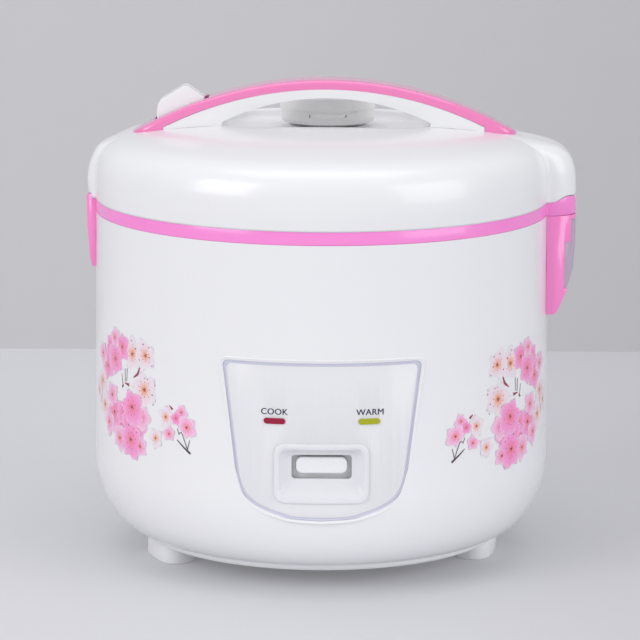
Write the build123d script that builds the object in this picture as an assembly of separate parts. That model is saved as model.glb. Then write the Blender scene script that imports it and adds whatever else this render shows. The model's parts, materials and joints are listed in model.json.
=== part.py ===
from build123d import *
from math import sqrt, sin, cos, radians
import os

# A drum-shaped electric rice cooker with a hinged lid, an arched carrying handle on the lid,
# a thumb release over a latch, a lift-off steam vent, a rocker cook switch and a dew collector.
# Millimetres. The origin is on the drum's axis at the level of the surface it stands on,
# +X towards the lid hinge, -Y towards the control panel, +Z up.

# Drum
DRUM_R = 130.0            # at the top of the outer shell
BELLY_R = 131.0           # at the foot of the straight wall
SHELL_WALL = 2.2
FOOT_H = 11.0             # underside of the base tray above the table
BASE_R = 104.5            # base tray rim
BASE_RIM_H = 4.0
CURVE_A = 31.0            # half axes of the elliptical bottom curve
CURVE_B = 45.0
CURVE_Z = 58.5            # where the straight wall ends
RING_Z = 198.6            # underside of the coloured seat ring
SEAM_Z = 206.0            # top of the seat ring, where the lid parts
LID_GAP = 0.3

# Hinge and latch bumps
BUMP_HALF = 23.0
BUMP_CORNER = 15.0
HINGE_REACH = 145.4
HINGE_X = 142.0
BARREL_R = 3.4
BARREL_CLEAR = 0.4
PIN_R = 1.5
PIN_RUN = 0.05            # radial clearance of a turning hole
LID_KNUCKLE = 9.7         # half length of the lid's knuckle
LATCH_REACH = 134.4
LATCH_HALF = 11.0
CATCH_TOP = 208.0           # the catch stands above the seam, in a notch of the lid
PIN_HALF = 14.8

# Lid
LID_WALL = 2.4
LID_TOP = 249.3
WELL_FLOOR = 240.0
WELL = (-60.0, 63.0, -25.0, 84.0)
WELL_CORNER = 26.0

# Handle, an arch along X over the finger well
HANDLE_X = 1.5
HANDLE_HALF = 12.5        # half depth in Y
STRIP_R = 213.0
STRIP_TOP = 274.3
STRIP_UNDER_R = 205.0
STRIP_T = 5.4
GRIP_R = 133.0
GRIP_TOP = 264.0

# Steam vent
VENT = (3.0, 50.0)
VENT_R = 28.0
VENT_LOW = 242.8
VENT_SPLIT = 251.4
VENT_TOP = 263.0
STEM_R = 17.6
SOCKET_R = 18.0

# Thumb release, push link and latch hook
LEVER_X = -90.5
LEVER_Z = 247.5
LEVER_HALF = 7.0
LINK_Z = 231.0
HOOK_X = -122.0
HOOK_Z = 216.0
HOOK_HALF = 5.0

# Panel and switch
PANEL_X = 0.4
GROOVE = 1.9
LAMP_OFFSET = 25.9
LAMP_Z = 101.4
LAMP_W = 11.8
LAMP_H = 3.2
BUTTON_W = 28.2
BUTTON_H = 9.3
BUTTON_Z = 76.0
SLOT_W = 33.2
SLOT_Z = (68.4, 82.0)
PIVOT_Y = -70.0
PIVOT_Z = 43.0

# Pot and heater
POT_R = 112.0
POT_WALL = 1.2
POT_FLANGE_R = 117.3
POT_BOTTOM = 78.0
LINER_R = 116.0
LINER_WALL = 1.0
LINER_FLOOR = 54.0
PLATE_R = 95.0
SENSOR_R = 16.0
SENSOR_TOP = 77.8

# Feet: four blocks under the rim, as angles from +X
FEET_ANGLES = (54.0, 135.0, 201.0, 348.0)
FOOT_SPAN = 24.0
FOOT_R = (81.0, 103.0)

INLET_Z = 38.0
INLET_HALF = (15.5, 11.5)

# Dew collector
CUP_HALF = 17.5
CUP_CORNER = 11.0
SEAT_REACH = 146.0
CUP_GAP = 0.3

MID = (Align.CENTER, Align.CENTER, Align.MIN)
parts = {}


def disc(radius, z0, z1, x=0.0, y=0.0):
    return Pos(x, y, z0) * Cylinder(radius, z1 - z0, align=MID)


def tube(r_in, r_out, z0, z1, x=0.0, y=0.0):
    return disc(r_out, z0, z1, x, y) - disc(r_in, z0, z1, x, y)


def block(x, y, z):
    """A box from three (low, high) pairs."""
    size = [b - a for a, b in (x, y, z)]
    mid = [(a + b) / 2 for a, b in (x, y, z)]
    return Pos(*mid) * Box(*size)


def rod_y(radius, x, z, y0, y1):
    return Pos(x, (y0 + y1) / 2, z) * Rot(90, 0, 0) * Cylinder(radius, y1 - y0)


def rod_x(radius, y, z, x0, x1):
    return Pos((x0 + x1) / 2, y, z) * Rot(0, 90, 0) * Cylinder(radius, x1 - x0)


def turned_points(points, x=0.0, y=0.0):
    solid = revolve(Plane.XZ * make_face(Polyline(*points, close=True)), Axis.Z)
    return Pos(x, y, 0) * solid


def side_profile(points, half):
    """Extrude an (x, z) outline from -half to +half along Y."""
    return extrude(Plane.XZ * make_face(Polyline(*points, close=True)), half, both=True)


def plan_bump(reach, half, corner, z0, z1, sign=1):
    """A block that reaches from the drum's middle out to x = sign * reach, corners rounded in plan."""
    width = reach - 60.0
    shape = Pos(sign * (60.0 + width / 2), 0) * RectangleRounded(width, 2 * half, corner)
    return Pos(0, 0, z0) * extrude(shape, z1 - z0)


def front_prism(sketch, y0, y1):
    """Extrude a sketch drawn in (x, z) from y = y0 towards the front, y = y1."""
    return extrude(Plane.XZ.offset(-y0) * sketch, y0 - y1)


def wall_offset_x(z, inset):
    """Half width of the drum at height z, inset from the outside."""
    if z >= CURVE_Z:
        return DRUM_R + (BELLY_R - DRUM_R) * (RING_Z - z) / (RING_Z - CURVE_Z) - inset
    drop = (CURVE_Z - z) / (CURVE_B - inset)
    return BELLY_R - CURVE_A + (CURVE_A - inset) * sqrt(max(0.0, 1.0 - drop * drop))


def drum_form(inset, z_low):
    """The drum as a solid, its surface moved inwards by inset, cut off at z_low."""
    steps = 12
    heights = [CURVE_Z - (CURVE_Z - z_low) * sin(radians(90.0 * i / steps)) for i in range(steps + 1)]
    curve = Spline(*[(wall_offset_x(z, inset), z) for z in heights])
    start = curve @ 0
    end = curve @ 1
    outline = (
        Line((0, RING_Z), (wall_offset_x(RING_Z, inset), RING_Z))
        + Line((wall_offset_x(RING_Z, inset), RING_Z), start)
        + curve
        + Line(end, (0, z_low))
        + Line((0, z_low), (0, RING_Z))
    )
    return revolve(Plane.XZ * make_face(outline), Axis.Z)


def spring(radius, wire, z0, z1, turns, x=0.0, y=0.0):
    """An open coil along Z between z0 and z1."""
    length = z1 - z0 - 2 * wire
    path = Helix(pitch=length / turns, height=length, radius=radius)
    section = Plane(origin=path @ 0, z_dir=path % 0) * Circle(wire)
    return Pos(x, y, z0 + wire) * sweep(section, path=path, is_frenet=True)


def screw(head_r, shank_r, length):
    """A pan head screw pointing up from z = 0, its head below."""
    head = fillet((disc(head_r, -2.0, 0)).edges().group_by(Axis.Z)[0], 0.8)
    slot = block((-head_r, head_r), (-0.4, 0.4), (-2.5, -1.2))
    return head - slot + disc(shank_r, -0.1, length)


# ---------------------------------------------------------------- outer shell and seat ring

def panel_outline(grow):
    """Shield outline of the control panel in (x, z), grown outwards by grow."""
    top = 134.0 + grow
    corner = 3.0
    half_top = 54.8 + 1.1 * grow
    side_z = 75.0
    half_side = 47.6 + grow
    slant = (half_side - half_top, side_z - top)
    bottom = 45.9 - grow
    right = (
        Line((0, top), (half_top, top))
        + Line((half_top, top), (half_side, side_z))
        + Spline((half_side, side_z), (40.6 + 0.78 * grow, 56.8 - 0.62 * grow),
                 (22.0 + 0.25 * grow, 48.0 - 0.97 * grow), (0, bottom), tangents=[slant, (-1, 0)])
        + Line((0, bottom), (0, top))
    )
    face = make_face(right)
    face = fillet(face.vertices().sort_by(Axis.X)[-1], corner)
    face = face + mirror(face, Plane.YZ)
    return Pos(PANEL_X, 0) * face


def bezel_outline(grow):
    half = 26.0
    low = 55.6
    high = 88.7
    shape = RectangleRounded(2 * (half + grow), high - low + 2 * grow, 5.5 + grow)
    return Pos(PANEL_X, (low + high) / 2) * shape


def make_outer_shell():
    shell = drum_form(0.0, FOOT_H + BASE_RIM_H) - drum_form(SHELL_WALL, FOOT_H + BASE_RIM_H)
    shell -= front_prism(panel_outline(0.0), -90, -140)
    shell -= block((-133, -120), (-9, 9), (184, RING_Z + 1))
    return shell - inlet_mouth()


def make_seat_ring():
    ring = turned_points([
        (DRUM_R, RING_Z), (DRUM_R, SEAM_Z), (119.2, SEAM_Z), (119.2, 203.0), (113.2, 203.0),
        (113.2, 200.5), (124.0, 200.5), (124.0, 192.0), (127.0, 192.0), (127.0, RING_Z)])
    bulge = plan_bump(HINGE_REACH, BUMP_HALF, BUMP_CORNER, RING_Z, SEAM_Z) - disc(124.0, 180, 220)
    barrel = rod_y(BARREL_R, HINGE_X, SEAM_Z, -BUMP_HALF, BUMP_HALF)
    barrel &= plan_bump(HINGE_REACH, BUMP_HALF, BUMP_CORNER, 200, 212)
    ring = ring + bulge + barrel
    middle = LID_KNUCKLE + 0.3
    ring -= rod_y(BARREL_R + BARREL_CLEAR, HINGE_X, SEAM_Z, -middle, middle)
    ring -= block((HINGE_X, 160), (-middle, middle), (SEAM_Z - BARREL_R - BARREL_CLEAR, 220))
    ring -= rod_y(PIN_R, HINGE_X, SEAM_Z, -30, 30)
    # room for the latch hook and for the catch
    ring -= block((-140, -116.5), (-6.8, 6.8), (180, 220))
    notch = block((-140, -100), (-LATCH_HALF - 0.1, LATCH_HALF + 0.1), (RING_Z, 220))
    ring -= notch - disc(127.6, RING_Z, 220)
    return ring


def lid_radius_points(inset):
    """The lid's turned outline from the seam up over the dome, moved inwards."""
    raw = [(130.2, SEAM_Z), (130.5, 216.0), (129.6, 226.0), (126.6, 233.5), (120.5, 238.8),
           (110.0, 242.4), (90.0, 245.6), (60.0, 247.9), (30.0, 249.0)]
    return [(r - inset if z < 236 else r - inset * (r - 90) / 40 if r > 90 else r,
             z if z < 230 else z - inset * min(1.0, (z - 230) / 9)) for r, z in raw]


def lid_dome(inset, z_low):
    points = lid_radius_points(inset)
    points[0] = (points[0][0], z_low)
    top = (0.0, LID_TOP - inset)
    curve = Spline(*points, top, tangents=[(0, 1), (-1, 0)])
    outline = curve + Line(top, (0, z_low)) + Line((0, z_low), points[0])
    return revolve(Plane.XZ * make_face(outline), Axis.Z)


def hinge_bump(inset, z_low):
    """The squared bump over the hinge: a side outline cut to a rounded plan."""
    reach = HINGE_REACH - inset
    side = (
        Line((90, z_low), (reach, z_low))
        + Line((reach, z_low), (reach - 0.8, 224.0 - inset))
        + Spline((reach - 0.8, 224.0 - inset), (reach - 4.2, 232.2 - inset), (reach - 11.4, 237.4 - inset),
                 (122.4 - inset, 240.6 - inset), (108.0, 243.0 - inset),
                 tangents=[(-0.05, 1), (-1, 0.12)])
        + Line((108.0, 243.0 - inset), (90, 243.0 - inset))
        + Line((90, 243.0 - inset), (90, z_low))
    )
    long_side = extrude(Plane.XZ * make_face(side), 60, both=True)
    return long_side & plan_bump(reach, BUMP_HALF - inset, BUMP_CORNER - inset / 2, z_low, 250)


def latch_bump(inset, z_low):
    """The shallow bulge over the latch."""
    reach = LATCH_REACH - inset
    side = (
        Line((-100, z_low), (-reach + 0.6, z_low))
        + Spline((-reach + 0.6, z_low), (-reach, 216.5), (-reach + 1.4, 225.0), (-reach + 6.0, 234.0 - inset),
                 (-121.0 + inset, 238.6 - inset), (-108.0, 242.0 - inset),
                 tangents=[(-0.1, 1), (1, 0.2)])
        + Line((-108.0, 242.0 - inset), (-100, 242.0 - inset))
        + Line((-100, 242.0 - inset), (-100, z_low))
    )
    long_side = extrude(Plane.XZ * make_face(side), 60, both=True)
    return long_side & plan_bump(reach, LATCH_HALF + 2 - inset, 7.0 - inset / 2, z_low, 250, -1)


def lid_form(inset, z_low):
    return lid_dome(inset, z_low) + hinge_bump(inset, z_low) + latch_bump(inset, z_low)


def well_form(grow, floor):
    """The finger well under the handle, also the seat of the steam vent."""
    x0, x1, y0, y1 = WELL
    shape = RectangleRounded(x1 - x0 + 2 * grow, y1 - y0 + 2 * grow, WELL_CORNER + grow)
    return Pos((x0 + x1) / 2, (y0 + y1) / 2, floor) * extrude(shape, 40)


def make_lid_shell():
    low = SEAM_Z + LID_GAP
    outer = lid_form(0.0, low) - well_form(0.0, WELL_FLOOR)
    inner = lid_form(LID_WALL, low - 5) - well_form(LID_WALL, WELL_FLOOR - LID_WALL)
    shell = outer - inner
    # ears of the seat ring stand in pockets beside the lid's knuckle
    middle = LID_KNUCKLE
    knuckle = rod_y(BARREL_R, HINGE_X, SEAM_Z, -middle, middle)
    web = block((HINGE_X - BARREL_R, HINGE_REACH), (-middle, middle), (SEAM_Z, 214)) & outer_bump_limit()
    ears = block((HINGE_X, 160), (-40, 40), (190, SEAM_Z + BARREL_R + BARREL_CLEAR))
    ears += rod_y(BARREL_R + BARREL_CLEAR, HINGE_X, SEAM_Z, -40, 40)
    ears -= block((120, 160), (-middle, middle), (190, 230))
    shell = shell - ears + knuckle + web
    shell -= rod_y(PIN_R + PIN_RUN, HINGE_X, SEAM_Z, -30, 30)
    spring_gap = rod_y(BARREL_R + 0.6, HINGE_X, SEAM_Z, -3.9, 3.9)
    shell -= spring_gap
    shell -= disc(SOCKET_R + 2.0, 230, 250, *VENT)
    shell -= block((LEVER_X - 4.9, LEVER_X + 3.6), (-7.4, 7.4), (230, 250))
    # a notch over the catch, and a pocket in the wall for the end of the push link
    shell -= block((-140, -127.0), (-LATCH_HALF - 0.4, LATCH_HALF + 0.4), (200, CATCH_TOP + 0.4))
    shell -= block((-127.6, -119.0), (-5.3, 5.3), (228.6, 233.5))
    return shell


def outer_bump_limit():
    return hinge_bump(0.0, SEAM_Z)


def make_base_tray():
    tray = turned_points([
        (78.0, FOOT_H), (BASE_R - 1.2, FOOT_H), (BASE_R, FOOT_H + 1.2), (BASE_R, FOOT_H + BASE_RIM_H),
        (100.0, FOOT_H + BASE_RIM_H), (98.6, 24.0), (96.4, 24.0), (97.6, FOOT_H + BASE_RIM_H - 1.4),
        (97.0, FOOT_H + 2.4), (78.0, FOOT_H + 2.4)])
    return tray - drum_form(0.0, FOOT_H + BASE_RIM_H) + turned_points([
        (94.0, FOOT_H + 1.0), (97.6, FOOT_H + 1.0), (97.6, 24.0), (94.0, 24.0)])


def make_bottom_plate():
    plate = disc(90.0, FOOT_H + 2.4, FOOT_H + 3.4)
    vents = Plane.XY.offset(FOOT_H) * PolarLocations(60.0, 12)
    for spot in vents:
        plate -= spot * extrude(SlotOverall(26.0, 4.0), 5)
    for spot in Plane.XY.offset(FOOT_H) * PolarLocations(30.0, 6):
        plate -= spot * extrude(SlotOverall(16.0, 4.0), 5)
    return plate


def foot_block(angle):
    r0, r1 = FOOT_R
    start = angle - FOOT_SPAN / 2
    shape = make_face(
        CenterArc((0, 0), r1, start, FOOT_SPAN)
        + Line(polar(r1, start + FOOT_SPAN), polar(r0, start + FOOT_SPAN))
        + CenterArc((0, 0), r0, start, FOOT_SPAN)
        + Line(polar(r0, start), polar(r1, start))
    )
    shape = fillet(shape.vertices(), 9.5)
    body = extrude(shape, FOOT_H)
    return chamfer(body.edges().group_by(Axis.Z)[0], 1.0)


def polar(radius, angle):
    return (radius * cos(radians(angle)), radius * sin(radians(angle)))


# ---------------------------------------------------------------- pot, liner and heater

def make_inner_pot():
    r = POT_R
    t = POT_WALL
    bottom = POT_BOTTOM
    lip = 204.2
    knee = 22.0
    side = (
        Line((0, bottom), (r - knee, bottom))
        + CenterArc((r - knee, bottom + knee), knee, 270, 90)
        + Line((r, bottom + knee), (r, 203.0))
        + Line((r, 203.0), (POT_FLANGE_R, 203.0))
        + Line((POT_FLANGE_R, 203.0), (POT_FLANGE_R, lip))
        + Line((POT_FLANGE_R, lip), (r - t, lip))
        + Line((r - t, lip), (r - t, bottom + knee))
        + CenterArc((r - knee, bottom + knee), knee - t, 0, -90)
        + Line((r - knee, bottom + t), (0, bottom + t))
        + Line((0, bottom + t), (0, bottom))
    )
    return revolve(Plane.XZ * make_face(side), Axis.Z)


def make_inner_liner():
    r = LINER_R
    t = LINER_WALL
    f = LINER_FLOOR
    liner = turned_points([
        (30.0, f), (r + t, f), (r + t, 199.2), (123.6, 199.2), (123.6, 200.3), (r, 200.3),
        (r, f + t), (30.0, f + t)])
    liner -= block((-140, -114), (-7.5, 7.5), (186, 210))
    for x in (-1, 1):
        liner -= disc(4.0, f - 1, f + 3, x * 66.0, 20.0)
    return liner


def make_heating_plate():
    plate = turned_points([
        (18.5, 66.0), (60.0, 66.0), (62.0, 60.0), (76.0, 60.0), (78.0, 66.0), (92.0, 68.0),
        (PLATE_R, 71.0), (PLATE_R, 76.0), (PLATE_R - 2, POT_BOTTOM), (18.5, POT_BOTTOM)])
    return plate


def make_heater_terminals():
    pins = []
    for x in (-1, 1):
        pin = disc(2.6, 50.0, 60.0, x * 66.0, 20.0)
        tab = block((x * 66 - 3.2, x * 66 + 3.2), (19.6, 20.4), (42.0, 50.0))
        pins.append(pin + tab)
    return pins


def make_plate_supports():
    """Three stepped brackets between the liner's floor and the heating plate."""
    feet = []
    for angle in (90, 210, 330):
        x, y = polar(87.0, angle)
        post = block((-4, 4), (-6, 6), (LINER_FLOOR + LINER_WALL, 66.0))
        foot = block((-4, 14), (-6, 6), (LINER_FLOOR + LINER_WALL, LINER_FLOOR + LINER_WALL + 1.2))
        piece = Pos(x, y, 0) * Rot(0, 0, angle) * (post + foot)
        feet.append(piece)
    return feet


def make_sensor_guide():
    guide = turned_points([
        (3.0, 55.0), (38.0, 55.0), (38.0, 56.4), (17.4, 56.4), (17.4, 74.0), (SENSOR_R + 0.3, 74.0),
        (SENSOR_R + 0.3, 56.4), (3.0, 56.4)])
    return guide


def make_sensor_cup():
    cup = disc(SENSOR_R, 60.0, SENSOR_TOP) - disc(SENSOR_R - 1.4, 59.0, SENSOR_TOP - 2.0)
    return fillet(cup.edges().group_by(Axis.Z)[-1], 1.2)


def make_magnet_plunger():
    rod = disc(2.5, 42.0, 62.0)
    rod += disc(5.0, 42.0, 43.6)
    rod += disc(5.0, 46.8, 48.4)
    return rod


# ---------------------------------------------------------------- cook switch

def make_cook_button():
    pad = Pos(PANEL_X, BUTTON_Z) * RectangleRounded(BUTTON_W, BUTTON_H, 3.6)
    body = front_prism(pad, -121.0, -125.6)
    body = fillet(body.edges().group_by(Axis.Y)[0], 1.4)
    plate = block((PANEL_X - 20, PANEL_X + 20), (-121.2, -120.0), (BUTTON_Z - 9, BUTTON_Z + 8.4))
    return body + plate


def make_switch_lever():
    arm = block((-6, 6), (-120.0, -118.4), (44.0, BUTTON_Z + 6))
    bar = block((-6, 6), (-120.0, 6.0), (44.0, 46.2))
    barrel = rod_x(4.0, PIVOT_Y, PIVOT_Z, -6, 6)
    tab = block((5, 15), (-84.0, -80.0), (44.0, 46.2))
    lever = arm + bar + barrel + tab
    lever -= block((-3.2, 3.2), (-4.0, 7.0), (40, 50))
    lever -= disc(3.2, 40, 50, 0, -1.0)
    return lever - rod_x(PIN_R + PIN_RUN, PIVOT_Y, PIVOT_Z, -10, 10)


def make_lever_bracket():
    top = FOOT_H + 3.4
    foot = block((-8.6, 8.6), (PIVOT_Y - 12, PIVOT_Y + 12), (top, top + 1.6))
    ears = foot
    for side in (-1, 1):
        near, far = sorted((side * 7.0, side * 8.6))
        ear = block((near, far), (PIVOT_Y - 7, PIVOT_Y + 7), (top, PIVOT_Z + 5))
        ears = ears + ear
    return ears - rod_x(PIN_R, PIVOT_Y, PIVOT_Z, -10, 10)


def make_micro_switch():
    body = block((8.6, 15.0), (PIVOT_Y - 25, PIVOT_Y - 5), (28.0, 38.4))
    lever = block((10.0, 14.0), (PIVOT_Y - 24, PIVOT_Y - 8), (40.6, 41.0))
    post = block((10.6, 13.4), (PIVOT_Y - 10, PIVOT_Y - 8), (38.4, 41.0))
    legs = block((10.8, 12.8), (PIVOT_Y - 23, PIVOT_Y - 22), (23.0, 28.0))
    legs += block((10.8, 12.8), (PIVOT_Y - 9, PIVOT_Y - 8), (23.0, 28.0))
    return body + lever + post + legs + disc(1.0, 38.4, 40.6, 11.8, PIVOT_Y - 16)


# ---------------------------------------------------------------- panel

def cylinder_between(r0, r1):
    return tube(r0, r1, 30, 150)


def make_control_panel():
    face = front_prism(panel_outline(-GROOVE), -100, -140) & cylinder_between(126.4, 130.2)
    flange = front_prism(panel_outline(4.0), -90, -140) & cylinder_between(125.4, 127.7)
    flange &= drum_form(SHELL_WALL + 0.05, FOOT_H + BASE_RIM_H)
    panel = face + flange
    panel -= front_prism(bezel_outline(0.0), -100, -140)
    for side in (-1, 1):
        spot = Pos(PANEL_X + side * LAMP_OFFSET, LAMP_Z) * SlotOverall(LAMP_W, LAMP_H)
        panel -= front_prism(spot, -100, -140)
    return panel


def make_button_bezel():
    frame = front_prism(bezel_outline(0.0), -123.0, -140) & disc(131.4, 40, 110)
    frame += front_prism(bezel_outline(0.0), -121.6, -127.0)
    mouth = Plane.XZ.offset(132.0) * (Pos(PANEL_X, 72.2) * RectangleRounded(44.6, 26.4, 4.0))
    throat = Plane.XZ.offset(125.0) * (Pos(PANEL_X, 74.6) * RectangleRounded(36.0, 17.0, 2.6))
    frame -= loft([mouth, throat])
    low, high = SLOT_Z
    slot = Pos(PANEL_X, (low + high) / 2) * RectangleRounded(SLOT_W, high - low, 2.0)
    frame -= front_prism(slot, -110, -140)
    return frame - block((-40, 40), (-123.0, -100), (50, 100))


def make_lens(side):
    spot = Pos(PANEL_X + side * LAMP_OFFSET, LAMP_Z) * SlotOverall(LAMP_W, LAMP_H)
    return front_prism(spot, -122.6, -140) & disc(130.6, 80, 120)


def make_lamp_carrier():
    """Strip behind the panel that holds both neon lamps."""
    strip = block((-34, 34.8), (-119.6, -118.4), (97.0, 106.0))
    return strip - disc(LINER_R + LINER_WALL + 0.6, 90, 110)


def make_neon_lamps():
    return [rod_x(1.4, -121.1, LAMP_Z, PANEL_X + s * LAMP_OFFSET - 5, PANEL_X + s * LAMP_OFFSET + 5)
            for s in (-1, 1)]


# ---------------------------------------------------------------- hinge seat, catch, collector

def seat_outline(inner_x):
    return [(inner_x, RING_Z - 0.2), (145.2, RING_Z - 0.2), (145.6, 192.0), (145.4, 181.0), (144.2, 167.0),
            (141.0, 157.0), (137.4, 148.6), (134.6, 143.0), (132.8, 141.4), (inner_x, 141.4)]


def outside_drum(gap):
    return drum_form(-gap, FOOT_H + BASE_RIM_H)


def make_hinge_seat():
    seat = side_profile(seat_outline(120.0), 60)
    seat &= plan_bump(SEAT_REACH, BUMP_HALF, BUMP_CORNER, 130, RING_Z)
    seat -= outside_drum(0.05)
    cavity = block((132.9, 160), (-CUP_HALF - CUP_GAP, CUP_HALF + CUP_GAP), (149.7, 196.3))
    seat -= cavity
    seat -= block((138.6, 160), (-40, 40), (156.0, 183.0))
    return seat


def cup_form(inset, top):
    outline = [(133.2 + inset, top), (145.3 - inset, top), (145.5 - inset, 192.0), (145.3 - inset, 181.0),
               (144.1 - inset, 167.0), (140.8 - inset, 156.6 + inset / 2), (137.8 - inset, 150.0 + inset),
               (133.2 + inset, 150.0 + inset)]
    form = side_profile(outline, 60)
    return form & plan_bump(SEAT_REACH - inset, CUP_HALF - inset, CUP_CORNER - inset / 2, 140, 230)


def make_dew_collector():
    return cup_form(0.0, 196.0) - cup_form(1.2, 200.0)


def make_latch_catch():
    outline = [(-120.0, CATCH_TOP), (-134.0, CATCH_TOP), (-135.0, CATCH_TOP - 1.4), (-134.6, 190.0), (-133.2, 172.0),
               (-132.2, 166.6), (-131.4, 166.0), (-120.0, 166.0)]
    cover = side_profile(outline, 60) & plan_bump(136.0, LATCH_HALF, 5.0, 160, 210, -1)
    cover -= outside_drum(0.05) & block((-140, 140), (-140, 140), (150, RING_Z))
    cover -= disc(127.75, RING_Z, 210)
    cover -= disc(DRUM_R, RING_Z - 3, RING_Z + 0.05)
    strike = block((-132.5, -129.2), (-8.4, 8.4), (186.0, RING_Z - 0.05))
    cover = cover - block((-129.2, -110), (-6.8, 6.8), (150, 220)) + strike
    cover -= block((-132.8, -120), (-7.0, 7.0), (186.0, 194.6))
    return cover


# ---------------------------------------------------------------- lid internals

def make_lid_liner():
    plate = turned_points([(0, 207.2), (126.8, 207.2), (126.8, 209.0), (0, 209.0)])
    plate -= disc(SOCKET_R + 2.0, 200, 212, *VENT)
    plate -= block((-128, -117), (-7.0, 7.0), (200, 212))
    return plate


def make_inner_lid():
    plate = turned_points([
        (0, 199.0), (98.0, 199.0), (104.0, 201.0), (107.8, 205.2), (108.2, 207.0), (107.0, 207.0),
        (106.6, 205.8), (103.0, 202.1), (97.6, 200.2), (0, 200.2)])
    for spot in PolarLocations(34.0, 6):
        plate -= Pos(0, 0, 195) * (spot * Cylinder(2.2, 10, align=MID))
    return plate - disc(4.0, 190, 210)


def make_inner_lid_grommet():
    return turned_points([
        (0, 195.4), (7.0, 195.4), (8.0, 197.0), (6.4, 199.0), (4.0, 199.0), (4.0, 200.2), (6.2, 200.2),
        (5.4, 203.0), (4.6, 207.2), (0, 207.2)])


def make_lid_gasket():
    return turned_points([
        (108.6, 204.5), (114.6, 204.5), (116.4, 205.4), (116.0, 207.0), (108.6, 207.0)])


def make_vent_socket():
    x, y = VENT
    socket = tube(SOCKET_R, SOCKET_R + 1.9, 203.0, WELL_FLOOR + 1.2, x, y)
    return socket + tube(SOCKET_R, SOCKET_R + 5.0, WELL_FLOOR, WELL_FLOOR + 1.2, x, y)


def make_vent_base():
    points = [(STEM_R - 1.5, 214.0), (STEM_R, 214.0), (STEM_R, VENT_LOW), (VENT_R - 3.0, VENT_LOW),
              (VENT_R - 0.9, VENT_LOW + 0.9), (VENT_R, VENT_LOW + 3.0), (VENT_R, VENT_SPLIT),
              (VENT_R - 1.6, VENT_SPLIT), (VENT_R - 1.6, VENT_LOW + 1.6), (STEM_R - 1.5, VENT_LOW + 1.6)]
    return turned_points(points, *VENT)


def make_vent_cap():
    top = VENT_TOP
    points = [(0, top), (VENT_R - 4.0, top), (VENT_R - 1.2, top - 1.4), (VENT_R, top - 4.4),
              (VENT_R, VENT_SPLIT), (VENT_R - 1.5, VENT_SPLIT), (VENT_R - 1.5, top - 4.2),
              (VENT_R - 3.0, top - 2.0), (0, top - 2.0)]
    cap = turned_points(points, *VENT)
    x, y = VENT
    for dx in (-8, 0, 8):
        cap -= Pos(x + dx, y + 4, top - 5) * extrude(SlotOverall(16, 3.0, rotation=90), 10)
    return cap


# ---------------------------------------------------------------- handle

def arc_z(radius, top, x):
    return top - radius + sqrt(radius * radius - (x - HANDLE_X) ** 2)


def arc_through(radius, top, x0, x1):
    mid = (x0 + x1) / 2
    return ThreePointArc(*[(x, arc_z(radius, top, x)) for x in (x0, mid, x1)])


def make_handle_cover():
    tip_l = -108.5
    tip_r = 111.0
    notch_l = -91.0
    notch_r = 92.5
    under = STRIP_TOP - STRIP_T
    top = arc_through(STRIP_R, STRIP_TOP, tip_l, tip_r)
    low = arc_through(STRIP_UNDER_R, under, notch_l, notch_r)
    edge_l = Line((tip_l, arc_z(STRIP_R, STRIP_TOP, tip_l)), (tip_l + 1.0, 242.6))
    edge_r = Line((tip_r, arc_z(STRIP_R, STRIP_TOP, tip_r)), (tip_r - 1.0, 242.4))
    base_l = Line((tip_l + 1.0, 242.6), (notch_l, 244.8))
    base_r = Line((tip_r - 1.0, 242.4), (notch_r, 244.8))
    rise_l = Line((notch_l, 244.8), (notch_l, arc_z(STRIP_UNDER_R, under, notch_l)))
    rise_r = Line((notch_r, 244.8), (notch_r, arc_z(STRIP_UNDER_R, under, notch_r)))
    face = make_face(top + low + edge_l + edge_r + base_l + base_r + rise_l + rise_r)
    strip = extrude(Plane.XZ * face, HANDLE_HALF, both=True)
    plan = Pos((tip_l + tip_r) / 2, 0, 230) * extrude(
        RectangleRounded(tip_r - tip_l + 1, 2 * HANDLE_HALF, 11.0), 60)
    strip = strip & plan
    strip -= lid_form(0.0, SEAM_Z + LID_GAP)
    return strip - lever_slot()


def lever_slot():
    gap = 0.4
    return block((LEVER_X - 5.2, -67.5), (-LEVER_HALF - gap, LEVER_HALF + gap), (244.0, 290.0))


def make_handle():
    under = STRIP_TOP - STRIP_T
    x0 = -90.8
    x1 = 92.3
    low_l = -57.5
    low_r = 61.5
    top = arc_through(STRIP_UNDER_R, under, x0, x1)
    grip = ThreePointArc((low_l, arc_grip(low_l)), (2.0, GRIP_TOP), (low_r, arc_grip(low_r)))
    sides = (
        Line((x0, arc_z(STRIP_UNDER_R, under, x0)), (x0, 236.0))
        + Line((x0, 236.0), (low_l, 236.0))
        + Line((low_l, 236.0), (low_l, arc_grip(low_l)))
        + Line((low_r, arc_grip(low_r)), (low_r, 236.0))
        + Line((low_r, 236.0), (x1, 236.0))
        + Line((x1, 236.0), (x1, arc_z(STRIP_UNDER_R, under, x1)))
    )
    arch = extrude(Plane.XZ * make_face(top + grip + sides), HANDLE_HALF, both=True)
    arch -= lid_form(0.0, SEAM_Z + LID_GAP)
    arch -= lever_slot()
    return arch - rod_y(PIN_R, LEVER_X, LEVER_Z, -9.6, 9.6)


def arc_grip(x):
    return GRIP_TOP - GRIP_R + sqrt(GRIP_R * GRIP_R - (x - 2.0) ** 2)


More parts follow.
